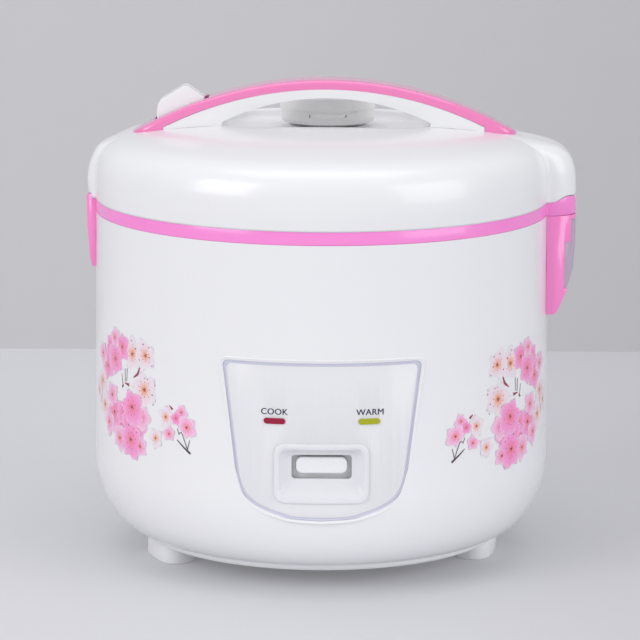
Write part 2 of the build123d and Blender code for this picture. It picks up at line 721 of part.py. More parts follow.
def make_release_lever():
    outline = [(-94.5, 249.6), (-94.6, 254.6), (-93.6, 259.4), (-91.6, 262.0), (-79.4, 269.8), (-77.4, 270.2),
               (-71.4, 266.2), (-71.0, 258.0), (-79.0, 252.6), (-87.0, 249.0), (-88.2, 245.4), (-93.0, 245.2)]
    lever = side_profile(outline, LEVER_HALF)
    lever = fillet(lever.edges().filter_by(Axis.Y).group_by(Axis.Z)[-1], 1.5)
    lever += side_profile([(-92.0, 247), (-89.4, 247), (-89.4, 227.8), (-92.0, 227.8)], 2.4)
    return lever - rod_y(PIN_R + PIN_RUN, LEVER_X, LEVER_Z, -20, 20)


def make_latch_link():
    """Bar that carries the lever's push out to the hook, a window at each end."""
    bar = block((-124.6, -86.6), (-4.6, 4.6), (LINK_Z - 1.6, LINK_Z + 1.6))
    bar -= block((-92.4, -89.0), (-2.9, 2.9), (LINK_Z - 3, LINK_Z + 3))
    bar -= block((-123.4, -120.6), (-2.9, 2.9), (LINK_Z - 3, LINK_Z + 3))
    return bar


def make_latch_hook():
    leg = block((-124.5, -121.5), (-HOOK_HALF, HOOK_HALF), (190.0, 220.0))
    arm = block((-122.9, -121.1), (-2.4, 2.4), (219.0, LINK_Z + 1.9))
    nose = side_profile([(-124.0, 194.0), (-128.5, 194.0), (-128.5, 192.8), (-124.0, 190.0)], HOOK_HALF)
    boss = rod_y(3.2, HOOK_X, HOOK_Z, -HOOK_HALF, HOOK_HALF)
    return leg + arm + nose + boss - rod_y(PIN_R + PIN_RUN, HOOK_X, HOOK_Z, -20, 20)


def make_latch_frame():
    """Bracket on the lid liner that holds the hook's pin and guides the link."""
    frame = block((-116.0, -96.0), (-9.0, 9.0), (209.0, 211.0))
    for side in (-1, 1):
        near, far = sorted((side * 5.8, side * 7.4))
        frame += block((-125.6, -96.0), (near, far), (209.0, 228.6))
    frame += block((-112.0, -100.0), (-7.4, 7.4), (226.8, 228.6))
    return frame - rod_y(PIN_R, HOOK_X, HOOK_Z, -9, 9)


# ---------------------------------------------------------------- electrics

def inlet_mouth():
    """The opening in the back of the drum that the socket fills."""
    half_w, half_h = INLET_HALF
    return block((-half_w, half_w), (118.0, 140.0), (INLET_Z - half_h, INLET_Z + half_h))


def make_power_inlet():
    """Recessed three-pin socket in the back wall."""
    z = INLET_Z
    half_w, half_h = INLET_HALF
    body = block((-half_w, half_w), (102.0, 134.0), (z - half_h, z + half_h))
    body &= drum_form(0.3, FOOT_H + BASE_RIM_H)
    body -= block((-12.0, 12.0), (108.0, 140.0), (z - 8.0, z + 8.0))
    return body


def make_inlet_pins():
    spots = ((-7, INLET_Z - 2.5), (7, INLET_Z - 2.5), (0, INLET_Z + 3.0))
    return [block((x - 1.0, x + 1.0), (96.0, 122.0), (z - 2.0, z + 2.0)) for x, z in spots]


def wire(points, radius=1.3, bend=3.0):
    path = FilletPolyline(*points, radius=bend)
    section = Plane(origin=path @ 0, z_dir=path % 0) * Circle(radius)
    return sweep(section, path=path)


def make_wiring():
    """Insulated leads: inlet to terminal block, terminal block to the heater."""
    z = 24.0
    start = INLET_Z - 2.5
    leads = []
    for side in (-1, 1):
        leads.append(wire([(side * 7, 95.8, start), (side * 7, 90, start), (side * 12, 90, z),
                           (side * 12, 84.2, z)], bend=2.5))
        leads.append(wire([(side * 12, 69.8, z), (side * 12, 58, z), (side * 66, 34, z), (side * 66, 20, z),
                           (side * 66, 20, 41.8)]))
    return leads


def make_terminal_block():
    z0 = FOOT_H + 3.4
    body = block((-18, 18), (70, 84), (z0, z0 + 13))
    for x in (-12, 0, 12):
        body -= disc(2.2, z0 + 7, z0 + 14, x, 77)
    return body


def make_thermal_fuse():
    return rod_x(2.6, 44.0, 51.2, 20, 44) + rod_x(0.6, 44.0, 51.2, 12, 52)


# ---------------------------------------------------------------- assembly

def add(name, shape):
    parts[name] = shape


def solids_of(shape):
    if isinstance(shape, (list, tuple)):
        return [solid for item in shape for solid in solids_of(item)]
    return list(shape.solids())


def minus(shape, *cutters):
    for cutter in cutters:
        for solid in solids_of(cutter):
            shape = shape - solid
    return shape


hinge_pin = rod_y(PIN_R, HINGE_X, SEAM_Z, -PIN_HALF, PIN_HALF)
lever_pin = rod_y(PIN_R, LEVER_X, LEVER_Z, -9.4, 9.4)
hook_pin = rod_y(PIN_R, HOOK_X, HOOK_Z, -7.4, 7.4)
switch_pin = rod_x(PIN_R, PIVOT_Y, PIVOT_Z, -8.6, 8.6)

base_screws = [Pos(*polar(84.0, a), FOOT_H) * screw(3.4, 1.5, 8.0) for a in (22, 108, 168, 282)]
hinge_screws = [Pos(124.4, y, 172) * Rot(0, 90, 0) * screw(3.2, 1.4, 8.0) for y in (-13, 13)]
handle_screws = [Pos(x, y, 243.0) * screw(3.2, 1.5, 9.0) for x in (-63.8, 68.0) for y in (-7.5, 7.5)]

add("outer_shell", minus(make_outer_shell(), hinge_screws))
add("seat_ring", make_seat_ring())
add("base_tray", minus(make_base_tray(), base_screws))
add("bottom_plate", minus(make_bottom_plate(), base_screws))
add("feet", [foot_block(a) for a in FEET_ANGLES])
add("base_screws", base_screws)
add("inner_pot", make_inner_pot())
add("inner_liner", make_inner_liner())
add("heating_plate", make_heating_plate())
add("heater_terminals", make_heater_terminals())
add("plate_supports", make_plate_supports())
add("keep_warm_band", tube(LINER_R + LINER_WALL, LINER_R + LINER_WALL + 1.0, 120, 150))
add("sensor_guide", make_sensor_guide())
add("sensor_cup", make_sensor_cup())
add("sensor_ferrite", disc(8.4, 71.8, SENSOR_TOP - 2.0))
add("sensor_spring", spring(11.6, 0.6, 56.4, SENSOR_TOP - 2.0, 5))
add("magnet_plunger", make_magnet_plunger())
add("plunger_magnet", disc(8.0, 62.0, 65.0))
add("cook_button", make_cook_button())
add("switch_lever", make_switch_lever())
add("switch_pin", switch_pin)
add("lever_bracket", make_lever_bracket())
add("lever_spring", spring(3.0, 0.5, FOOT_H + 3.4, 44.0, 7, 0, PIVOT_Y - 16.2))
add("micro_switch", make_micro_switch())
add("control_panel", make_control_panel())
add("button_bezel", make_button_bezel())
add("cook_lens", make_lens(-1))
add("warm_lens", make_lens(1))
add("lamp_carrier", make_lamp_carrier())
add("neon_lamps", make_neon_lamps())
add("power_inlet", minus(make_power_inlet(), make_inlet_pins()))
add("inlet_pins", make_inlet_pins())
add("terminal_block", make_terminal_block())
add("thermal_fuse", make_thermal_fuse())
add("wiring", make_wiring())
add("hinge_seat", minus(make_hinge_seat(), hinge_screws))
add("hinge_screws", hinge_screws)
add("hinge_pin", hinge_pin)
add("dew_collector", make_dew_collector())
add("latch_catch", make_latch_catch())
add("lid_shell", minus(make_lid_shell(), handle_screws))
add("lid_liner", make_lid_liner())
add("inner_lid", make_inner_lid())
add("inner_lid_grommet", make_inner_lid_grommet())
add("lid_gasket", make_lid_gasket())
add("vent_socket", make_vent_socket())
add("handle", minus(make_handle(), handle_screws))
add("handle_cover", minus(make_handle_cover(), lever_pin))
add("handle_screws", handle_screws)
add("lever_axle", lever_pin)
add("latch_frame", make_latch_frame())
add("latch_axle", hook_pin)
add("release_lever", make_release_lever())
add("latch_link", make_latch_link())
add("latch_hook", make_latch_hook())
add("vent_base", make_vent_base())
add("vent_cap", make_vent_cap())

os.makedirs("parts", exist_ok=True)
for name, shape in parts.items():
    solids = solids_of(shape)
    whole = solids[0] if len(solids) == 1 else Compound(children=solids)
    whole.label = name
    export_step(whole, f"parts/{name}.step")
print(len(parts), "nodes")
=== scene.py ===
"""A drum-shaped rice cooker: the looks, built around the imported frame.

The shapes of the cooker are given in millimetres, the studio in metres. The front is -Y, and +X is the
hinge side.
"""

import json
import math
import random

import bmesh
import bpy
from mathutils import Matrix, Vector


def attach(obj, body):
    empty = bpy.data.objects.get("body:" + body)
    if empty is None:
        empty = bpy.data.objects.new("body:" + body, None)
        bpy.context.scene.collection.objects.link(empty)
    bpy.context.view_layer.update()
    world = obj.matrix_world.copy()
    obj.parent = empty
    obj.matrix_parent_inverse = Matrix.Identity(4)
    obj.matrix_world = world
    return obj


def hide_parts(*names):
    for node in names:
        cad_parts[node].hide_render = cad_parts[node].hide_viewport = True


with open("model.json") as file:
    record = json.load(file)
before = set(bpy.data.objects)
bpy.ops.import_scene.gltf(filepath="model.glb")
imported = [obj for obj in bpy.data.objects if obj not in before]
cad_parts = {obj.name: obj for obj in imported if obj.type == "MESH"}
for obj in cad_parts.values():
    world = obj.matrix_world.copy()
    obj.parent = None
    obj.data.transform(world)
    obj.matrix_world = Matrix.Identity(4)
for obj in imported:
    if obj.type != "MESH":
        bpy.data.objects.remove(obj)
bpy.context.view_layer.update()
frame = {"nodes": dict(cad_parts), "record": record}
nodes = frame["nodes"]
MM = 0.001


# ---------------------------------------------------------------- materials

def graph(name):
    """A new node material and its surface shader."""
    material = bpy.data.materials.new(name)
    material.use_nodes = True
    return material, material.node_tree.nodes, material.node_tree.links, \
        material.node_tree.nodes["Principled BSDF"]


def add_noise(nodes_, links, scale, detail=3.0, stretch=(1, 1, 1)):
    """Noise in the object's own coordinates, scale per metre."""
    place = nodes_.new("ShaderNodeTexCoord")
    mapping = nodes_.new("ShaderNodeMapping")
    mapping.inputs["Scale"].default_value = stretch
    noise = nodes_.new("ShaderNodeTexNoise")
    noise.inputs["Scale"].default_value = scale
    noise.inputs["Detail"].default_value = detail
    links.new(place.outputs["Object"], mapping.inputs["Vector"])
    links.new(mapping.outputs["Vector"], noise.inputs["Vector"])
    return noise.outputs["Fac"]


def ramp(nodes_, links, fac, low, high):
    """The factor carried to a range of numbers."""
    node = nodes_.new("ShaderNodeMapRange")
    node.inputs["To Min"].default_value = low
    node.inputs["To Max"].default_value = high
    links.new(fac, node.inputs["Value"])
    return node.outputs["Result"]


def two_tone(nodes_, links, fac, dark, light):
    """A colour between two, by a factor."""
    node = nodes_.new("ShaderNodeMix")
    node.data_type = "RGBA"
    node.inputs["A"].default_value = (*dark, 1)
    node.inputs["B"].default_value = (*light, 1)
    links.new(fac, node.inputs["Factor"])
    return node.outputs["Result"]


def bump(nodes_, links, shader, height, distance, strength=1.0):
    """A surface grain from a height, its depth in metres."""
    node = nodes_.new("ShaderNodeBump")
    node.inputs["Distance"].default_value = distance
    node.inputs["Strength"].default_value = strength
    links.new(height, node.inputs["Height"])
    links.new(node.outputs["Normal"], shader.inputs["Normal"])


def plastic(name, color, rough=0.3, grain=0.00002, spread=0.03, coat=0.0):
    """Moulded plastic: a fine grain in its colour, its gloss and its surface."""
    material, n, l, s = graph(name)
    fine = add_noise(n, l, 1400, 2)
    dark = tuple(max(0, c * (1 - spread)) for c in color)
    l.new(two_tone(n, l, fine, dark, color), s.inputs["Base Color"])
    l.new(ramp(n, l, fine, rough * 0.92, rough * 1.08), s.inputs["Roughness"])
    bump(n, l, s, fine, grain, 0.1)
    s.inputs["Coat Weight"].default_value = coat
    s.inputs["Coat Roughness"].default_value = 0.06
    return material


def metal(name, color, rough, stretch=(1, 1, 1), scale=400, depth=0.00003):
    """Bare metal with a worked grain, drawn out along one direction."""
    material, n, l, s = graph(name)
    grain = add_noise(n, l, scale, 4, stretch)
    s.inputs["Metallic"].default_value = 1
    l.new(two_tone(n, l, grain, tuple(c * 0.82 for c in color), color), s.inputs["Base Color"])
    l.new(ramp(n, l, grain, rough * 0.7, rough * 1.3), s.inputs["Roughness"])
    bump(n, l, s, grain, depth, 0.6)
    return material


def clear(name, color, rough=0.08, transmission=0.85):
    """Tinted clear plastic."""
    material, n, l, s = graph(name)
    mist = add_noise(n, l, 60, 2)
    l.new(two_tone(n, l, mist, tuple(c * 0.92 for c in color), color), s.inputs["Base Color"])
    l.new(ramp(n, l, mist, rough * 0.7, rough * 1.6), s.inputs["Roughness"])
    s.inputs["Transmission Weight"].default_value = transmission
    s.inputs["IOR"].default_value = 1.49
    return material


white = plastic("cooker_white_enamel", (0.80, 0.805, 0.825), 0.22, 0.00001, 0.01, coat=0.35)
white_part = plastic("cooker_white_plastic", (0.80, 0.805, 0.825), 0.26, 0.00001, 0.01, coat=0.25)
pink = plastic("cooker_pink_plastic", (0.95, 0.24, 0.60), 0.2, 0.00001, 0.04, coat=0.6)
pink_ring = plastic("cooker_pink_ring", (0.92, 0.25, 0.66), 0.24, 0.00001, 0.03, coat=0.4)
pink_strip = plastic("cooker_pink_strip", (0.84, 0.20, 0.48), 0.16, 0.00001, 0.04, coat=1.0)
grey = plastic("cooker_grey_plastic", (0.36, 0.37, 0.39), 0.42, 0.00004, 0.05)
black = plastic("cooker_black_plastic", (0.02, 0.02, 0.022), 0.4, 0.00004, 0.2)
rubber = plastic("cooker_white_silicone", (0.78, 0.78, 0.77), 0.5, 0.00003, 0.04)
sleeve = plastic("cooker_lead_sleeve", (0.72, 0.7, 0.64), 0.7, 0.0001, 0.12)
spun = metal("cooker_spun_aluminium", (0.80, 0.81, 0.82), 0.26, (1, 1, 14), 260)
cast = metal("cooker_cast_aluminium", (0.62, 0.63, 0.64), 0.42, (1, 1, 1), 900, 0.00008)
zinc = metal("cooker_zinc_sheet", (0.62, 0.64, 0.66), 0.36, (1, 1, 1), 90, 0.00002)
bright = metal("cooker_bright_steel", (0.72, 0.73, 0.74), 0.2, (1, 1, 6), 500)
brass = metal("cooker_brass", (0.80, 0.58, 0.27), 0.28, (1, 1, 1), 500)
ferrite = metal("cooker_ferrite", (0.09, 0.09, 0.10), 0.55, (1, 1, 1), 1200, 0.00008)
cup_plastic = clear("cooker_smoky_cup", (0.80, 0.66, 0.82), 0.14, 0.45)
red_lens = clear("cooker_red_lens", (0.45, 0.0, 0.045), 0.2, 0.3)
lime_lens = clear("cooker_lime_lens", (0.55, 0.58, 0.01), 0.2, 0.3)

finish_of_slot = {
    "white_shell": white, "white_plastic": white_part, "pink_plastic": pink,
    "red_lens": red_lens, "lime_lens": lime_lens, "clear_plastic": cup_plastic,
    "aluminium": spun, "cast_aluminium": cast, "steel_sheet": zinc, "steel_pin": bright,
    "brass": brass, "silicone": rubber, "black_plastic": black, "grey_plastic": grey,
    "wire_sleeve": sleeve, "magnet": ferrite,
}


def dress(obj, material):
    """One material all over."""
    obj.data.materials.clear()
    obj.data.materials.append(material)


slot_of_node = {}
for entry in frame["record"]["subparts"]:
    slot_of_node[entry["node"]] = entry["material_slot"]
for name, obj in nodes.items():
    dress(obj, finish_of_slot.get(slot_of_node.get(name), white_part))


# ---------------------------------------------------------------- mesh tools

def smooth_line(points, steps):
    """Points on a Catmull-Rom curve through the given points."""
    ends = [tuple(2 * a - b for a, b in zip(points[0], points[1]))] + list(points)
    ends.append(tuple(2 * a - b for a, b in zip(points[-1], points[-2])))
    line = []
    for k in range(1, len(ends) - 2):
        p0, p1, p2, p3 = ends[k - 1:k + 3]
        for j in range(steps):
            t = j / steps
            line.append(tuple(
                0.5 * (2 * b + (c - a) * t + (2 * a - 5 * b + 4 * c - d) * t * t
                       + (3 * b - a - 3 * c + d) * t ** 3)
                for a, b, c, d in zip(p0, p1, p2, p3)))
    return line + [tuple(points[-1])]


def read_line(line, value, key, out):
    """Reads column `out` of a line at `value` in column `key`, between its samples."""
    for a, b in zip(line, line[1:]):
        low, high = sorted((a[key], b[key]))
        if low <= value <= high and high > low:
            share = (value - a[key]) / (b[key] - a[key])
            return a[out] + share * (b[out] - a[out])
    return min(line, key=lambda p: abs(p[key] - value))[out]


def soft_step(value, low, high):
    """From 0 to 1 between two values, level at both."""
    t = min(1.0, max(0.0, (value - low) / (high - low)))
    return t * t * (3 - 2 * t)


def soft_max(a, b, width):
    """The larger of two, blended where they are closer than width."""
    near = max(width - abs(a - b), 0.0) / width
    return max(a, b) + near * near * width / 4


def piece(name, verts, faces, material, body, stands_for=(), sharp=35.0,
          weld=0.0):
    """A mesh piece in millimetres, smooth but for its sharp edges, riding on a body."""
    mesh = bpy.data.meshes.new(name)
    mesh.from_pydata([(x * MM, y * MM, z * MM) for x, y, z in verts], [], faces)
    mesh.validate()
    mesh.materials.append(material)
    work = bmesh.new()
    work.from_mesh(mesh)
    if weld:
        bmesh.ops.remove_doubles(work, verts=work.verts, dist=weld * MM)
    bmesh.ops.recalc_face_normals(work, faces=work.faces)
    work.to_mesh(mesh)
    work.free()
    mesh.shade_smooth()
    mesh.set_sharp_from_angle(angle=math.radians(sharp))
    obj = bpy.data.objects.new(name, mesh)
    bpy.context.scene.collection.objects.link(obj)
    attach(obj, body)
    if stands_for:
        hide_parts(*stands_for)
    return obj


def skin(rows, closed=True):
    """Quads between rows of equal length."""
    count = len(rows[0])
    verts = [p for row in rows for p in row]
    faces = []
    for r in range(len(rows) - 1):
        for c in range(count if closed else count - 1):
            d = (c + 1) % count
            faces.append((r * count + c, r * count + d, (r + 1) * count + d, (r + 1) * count + c))
    return verts, faces


def loop_skin(rows):
    """Quads between rows of equal length, the last row joined to the first."""
    verts, faces = skin(rows + [rows[0]])
    count = len(rows) * len(rows[0])
    return verts[:count], [tuple(v % count for v in face) for face in faces]


def thicken(obj, thickness):
    """Gives an open skin its wall, inwards."""
    wall = obj.modifiers.new("wall", "SOLIDIFY")
    wall.thickness = thickness * MM
    wall.offset = -1
    wall.use_even_offset = True


def soften(node, width, angle=32.0):
    """Rounds the edges of a CAD node by modifiers, its own mesh left alone."""
    obj = nodes[node]
    weld = obj.modifiers.new("weld", "WELD")
    weld.merge_threshold = 0.00002
    edge = obj.modifiers.new("edge", "BEVEL")
    edge.width = width * MM
    edge.segments = 2
    edge.limit_method = "ANGLE"
    edge.angle_limit = math.radians(angle)
    edge.harden_normals = True


# ---------------------------------------------------------------- lid shell

SEAM = 206.08              # lower edge of the lid
LID_LINE = smooth_line([(130.2, SEAM), (130.5, 216.0), (129.6, 226.0), (126.6, 233.5), (120.5, 238.8),
                        (110.0, 242.4), (90.0, 245.6), (60.0, 247.9), (30.0, 249.0), (0.0, 249.3)], 8)
HINGE_LINE = smooth_line([(145.4, SEAM), (145.2, 216.0), (144.6, 224.0), (141.2, 232.2), (134.0, 237.4),
                          (122.4, 240.6), (108.0, 243.0), (90.0, 244.5)], 6)
LATCH_LINE = smooth_line([(133.8, SEAM), (134.4, 216.5), (133.0, 225.0), (128.4, 234.0), (121.0, 238.6),
                          (108.0, 242.0), (90.0, 243.5)], 6)
HINGE_PLAN = (23.0, 15.0)  # half width and corner of the bump over the hinge
LATCH_PLAN = (13.0, 8.0)
HINGE_AXIS = (142.0, 206.0)
BARREL_R = 3.4
BARREL_ROOM = 3.7
CATCH_HALF = 11.4          # half width of the notch over the catch
CATCH_ROOM = 2.1
TOP_EDGE = 110.0           # radius where the side gives way to the dome
WELL = (-60.0, 63.0, -25.0, 84.0)
WELL_CORNER = 26.0
WELL_FLOOR = 240.0
VENT_AT = (3.0, 50.0)
VENT_HOLE = 20.0


def nose_reach(angle, reach, half, corner):
    """Distance from the drum's axis to a rounded nose that points along +X, at an angle from it."""
    c = math.cos(angle)
    s = abs(math.sin(angle))
    if c <= 0:
        return 0.0
    if reach * s <= (half - corner) * c:
        return reach / c
    if half * c <= (reach - corner) * s:
        return half / s
    middle = (reach - corner, half - corner)
    along = middle[0] * c + middle[1] * s
    off = middle[0] * s - middle[1] * c
    return along + math.sqrt(max(0.0, corner ** 2 - off ** 2))


def lid_columns():
    """Angles round the lid, close together where the bumps and the notch have their edges."""
    half = [0.0, 2.0, 4.0, 5.0]
    half += [5.0 + 0.35 * k for k in range(1, 24)]
    half += [13.05 + 2.6 * k for k in range(1, 58)]
    far = [180.0 - a for a in (13.0, 12.0, 11.0, 10.0, 9.0, 8.0, 7.0, 6.2, 5.6, 5.12, 5.02, 4.9, 4.0, 2.0)]
    half = [a for a in half if a < 166.0] + far
    return [math.radians(a) for a in half] + [math.pi] + [math.radians(-a) for a in reversed(half[1:])]


def lid_radius(angle, radius, height):
    """Reach of the lid at a height: the drum form, with the two bumps blended in."""
    fade = 1.0 - soft_step(height, 238.0, 242.4)
    hinge = nose_reach(angle, read_line(HINGE_LINE, height, 1, 0), *HINGE_PLAN)
    latch = nose_reach(math.pi - angle, read_line(LATCH_LINE, height, 1, 0), *LATCH_PLAN)
    return soft_max(soft_max(radius, hinge, 1.0 + 8.0 * fade), latch, 1.0 + 6.0 * fade)


def arm_rise(x, y):
    """How far the ring's arm stands above the seam: up the barrel's back and round it."""
    run = x - HINGE_AXIS[0]
    if x < 130.0 or abs(y) > HINGE_PLAN[0] + 1:
        return 0.0
    if run > 0:
        return math.sqrt(max(0.0, BARREL_R ** 2 - run ** 2))
    return BARREL_R * soft_step(x, 130.5, 140.5)


def lid_low_edge(x, y):
    """Height of the lower edge: lifted over the ring's arm and over the catch."""
    if x > HINGE_AXIS[0]:
        return HINGE_AXIS[1] + BARREL_ROOM
    if x > 0:
        return SEAM + arm_rise(x, y) * BARREL_ROOM / BARREL_R
    return SEAM + CATCH_ROOM if abs(y) < CATCH_HALF else SEAM


def rounded_box_reach(angle, centre, box, corner):
    """Distance from a point inside a rounded rectangle to its edge, found by halving."""
    x0, x1, y0, y1 = box
    step = 200.0
    reach = 0.0
    while step > 0.005:
        x = centre[0] + (reach + step) * math.cos(angle)
        y = centre[1] + (reach + step) * math.sin(angle)
        dx = max(x0 + corner - x, x - x1 + corner, 0.0)
        dy = max(y0 + corner - y, y - y1 + corner, 0.0)
        if math.hypot(dx, dy) <= corner:
            reach += step
        step /= 2
    return reach


def well_loop(columns, inset):
    """Edge of the well behind the handle, drawn in by inset, one point for each angle about the vent."""
    x0, x1, y0, y1 = WELL
    box = (x0 + inset, x1 - inset, y0 + inset, y1 - inset)
    loop = []
    for angle in columns:
        reach = rounded_box_reach(angle, VENT_AT, box, WELL_CORNER - inset)
        loop.append((VENT_AT[0] + reach * math.cos(angle), VENT_AT[1] + reach * math.sin(angle)))
    return loop


def dome(x, y):
    return read_line(LID_LINE, math.hypot(x, y), 0, 1)


def make_lid_shell():
    """Side, dome, and the well with the vent's hole, as rows from the seam inwards."""
    columns = lid_columns()
    rows = []
    side = [p for p in LID_LINE if p[0] >= TOP_EDGE or p[1] < 220.0]
    for radius, height in side:
        row = []
        for angle in columns:
            reach = lid_radius(angle, radius, height)
            x, y = reach * math.cos(angle), reach * math.sin(angle)
            rise = (lid_low_edge(x, y) - SEAM) * max(0.0, 1.0 - (height - SEAM) / 12.0)
            row.append((x, y, height + rise))
        rows.append(row)
    last = rows[-1]
    turns = [math.atan2(y - VENT_AT[1], x - VENT_AT[0]) for x, y, z in last]
    rim = well_loop(turns, 0.0)
    for k in range(1, 9):
        share = k / 9
        row = []
        for (x, y, z), (u, v) in zip(last, rim):
            px, py = x + share * (u - x), y + share * (v - y)
            row.append((px, py, dome(px, py) + (z - dome(x, y)) * (1 - share) ** 2))
        rows.append(row)
    for inset, drop in ((0, 0.0), (0.5, 0.06), (1.0, 0.3), (1.5, 0.8), (1.9, 1.6), (2.1, 2.6)):
        loop = well_loop(turns, inset)
        rows.append([(x, y, dome(*o) - drop) for (x, y), o in zip(loop, rim)])
    for inset, height in ((2.7, 1.9), (3.2, 0.9), (4.2, 0.25), (5.8, 0.0)):
        rows.append([(x, y, WELL_FLOOR + height) for x, y in well_loop(turns, inset)])
    inner = well_loop(turns, 5.8)
    for share in (0.25, 0.5, 0.75, 0.94, 1.0):
        row = []
        for (x, y), angle in zip(inner, turns):
            u, v = (VENT_AT[k] + VENT_HOLE * f(angle) for k, f in ((0, math.cos), (1, math.sin)))
            row.append((x + share * (u - x), y + share * (v - y), WELL_FLOOR))
        rows.append(row)
    rows.append([(x, y, WELL_FLOOR - 1.2) for x, y, z in rows[-1]])
    verts, faces = skin(rows)
    shell = piece("lid_shell_skin", verts, faces, white_part, "lid",
                  ["lid_shell"], 50)
    thicken(shell, 2.0)


def side_prism(outline, y0, y1):
    """A closed prism from an (x, z) outline."""
    count = len(outline)
    verts = [(x, y0, z) for x, z in outline] + [(x, y1, z) for x, z in outline]
    faces = [(k, (k + 1) % count, (k + 1) % count + count, k + count) for k in range(count)]
    return verts, faces + [tuple(range(count)), tuple(range(2 * count - 1, count - 1, -1))]


def round_edges(obj, width, segments=3, angle=30.0):
    edge = obj.modifiers.new("edge", "BEVEL")
    edge.width = width * MM
    edge.segments = segments
    edge.limit_method = "ANGLE"
    edge.angle_limit = math.radians(angle)
    edge.harden_normals = True


def make_lid_knuckles():
    ax, az = HINGE_AXIS
    outline = [(ax + 3.4 * math.cos(a), az + 3.4 * math.sin(a))
               for a in [math.radians(180 + 15 * k) for k in range(13)]]
    outline += [(ax + 2.6, 214.0), (ax - 2.0, 214.0)]
    for name, y0, y1 in (("front", -9.7, -4.0), ("back", 4.0, 9.7)):
        verts, faces = side_prism(outline, y0, y1)
        knuckle = piece("lid_knuckle_" + name, verts, faces, white_part, "lid")
        round_edges(knuckle, 0.3, 2)


make_lid_shell()
make_lid_knuckles()


# ---------------------------------------------------------------- seat ring and its hinge arm

RING_LOW = 198.6
RING_TOP = 206.0
SPIGOT = (124.0, 127.0)    # radii of the collar that drops into the drum
SPIGOT_DROP = 5.0
LEDGE = (113.2, 119.2)     # radii of the ledge that the inner pot's rim rests over
LEDGE_TOP = 203.0
LEDGE_LOW = 200.5
NOTCH_FLOOR = 127.6        # radius left behind the catch
TOP_INNER = 125.0          # the arm's shape fades out at this radius
EAR_GAP = 10.0             # the lid's knuckles stand between the ears, this far each side


def ring_reach(angle):
    """Outer edge of the ring, with the nose under the hinge bump."""
    nose = nose_reach(angle, 145.4, *HINGE_PLAN)
    return soft_max(130.0, nose, 3.0)


def ring_top(x, y):
    """Height of the ring's top, hollowed between the ears to clear the lid's knuckles."""
    run = x - HINGE_AXIS[0]
    if x > HINGE_AXIS[0] - BARREL_ROOM and abs(y) < EAR_GAP:
        return RING_TOP - math.sqrt(max(0.0, BARREL_ROOM ** 2 - min(0.0, run) ** 2))
    return RING_TOP + arm_rise(x, y)


def ring_section(angle):
    """The ring's section at one angle, from the spigot's foot over the top to the foot's inside."""
    c, s = math.cos(angle), math.sin(angle)
    reach = ring_reach(angle)
    notch = c < 0 and abs(reach * s) < CATCH_HALF - 0.3
    outer = NOTCH_FLOOR if notch else reach
    shoulder = outer - 0.15
    foot = RING_LOW - SPIGOT_DROP
    spots = [(SPIGOT[1], foot), (SPIGOT[1], RING_LOW), (outer - 0.4, RING_LOW), (outer, RING_LOW + 0.4),
             (outer, ring_top(outer * c, outer * s) - 0.35)]
    for k in range(13):
        r = TOP_INNER + (shoulder - TOP_INNER) * (1 - k / 12)
        spots.append((r, ring_top(r * c, r * s)))
    spots += [(LEDGE[1], RING_TOP), (LEDGE[1], LEDGE_TOP), (LEDGE[0], LEDGE_TOP), (LEDGE[0], LEDGE_LOW),
              (SPIGOT[0], LEDGE_LOW), (SPIGOT[0], foot)]
    return [(r * c, r * s, z) for r, z in spots]


def make_seat_ring():
    """The pink ring, its sections close together at the edges of the ears and the notch."""
    ear_edges = [math.radians(side * a) for side in (-1, 1) for a in (4.02, 4.1, 4.3)]
    columns = sorted(set(a % (2 * math.pi) for a in lid_columns() + ear_edges))
    rows = list(zip(*[ring_section(angle) for angle in columns]))
    verts, faces = loop_skin(rows)
    piece("seat_ring_skin", verts, faces, pink_ring, "cooker_body", ["seat_ring"], 40)


make_seat_ring()


# ---------------------------------------------------------------- steam vent and release lever

VENT_LINE = ((16.1, 214.0), (17.6, 214.0), (17.6, 242.8), (24.6, 242.8), (26.6, 243.5), (27.4, 245.0),
             (27.6, 247.2), (27.6, 247.5), (27.6, 247.8), (27.6, 248.2), (27.6, 249.2), (27.6, 249.6),
             (27.6, 249.9), (27.6, 251.3), (26.3, 251.3), (26.3, 244.4), (16.1, 244.4))
FRONT = 270                # degrees about the vent, towards the front
TAB_TURN = 20.5            # half the finger tab's width, in degrees about the vent
TAB_BAND = (247.6, 249.8)  # heights between which the tab stands out
PIT_BAND = (248.0, 249.4)
TAB_OUT = 0.8
PIT_IN = 2.2


def tab_swell(radius, z, turn):
    """How far the base stands out at its finger tab, or in at the pits beside it."""
    off = abs(turn - FRONT)
    if radius < 27.0 or not TAB_BAND[0] < z < TAB_BAND[1]:
        return 0.0
    if off <= TAB_TURN:
        return TAB_OUT
    in_pit = PIT_BAND[0] < z < PIT_BAND[1] and TAB_TURN + 0.5 < off < TAB_TURN + 3.0
    return -PIT_IN if in_pit else 0.0


def make_vent_base():
    """Body of the vent, with a finger tab on its front between two pits."""
    tab_edges = [FRONT + side * (TAB_TURN + d) for side in (-1, 1) for d in (-0.6, 0, 0.4, 0.9, 2.6, 3.1)]
    turns = sorted(set([6.0 * k for k in range(60)] + tab_edges))
    rows = []
    for radius, z in VENT_LINE:
        row = []
        for turn in turns:
            reach = radius + tab_swell(radius, z, turn)
            a = math.radians(turn)
            row.append((VENT_AT[0] + reach * math.cos(a), VENT_AT[1] + reach * math.sin(a), z))
        rows.append(row)
    verts, faces = loop_skin(rows)
    piece("vent_base_skin", verts, faces, vent_white_painted_light, "steam_vent", ["vent_base"], 40)


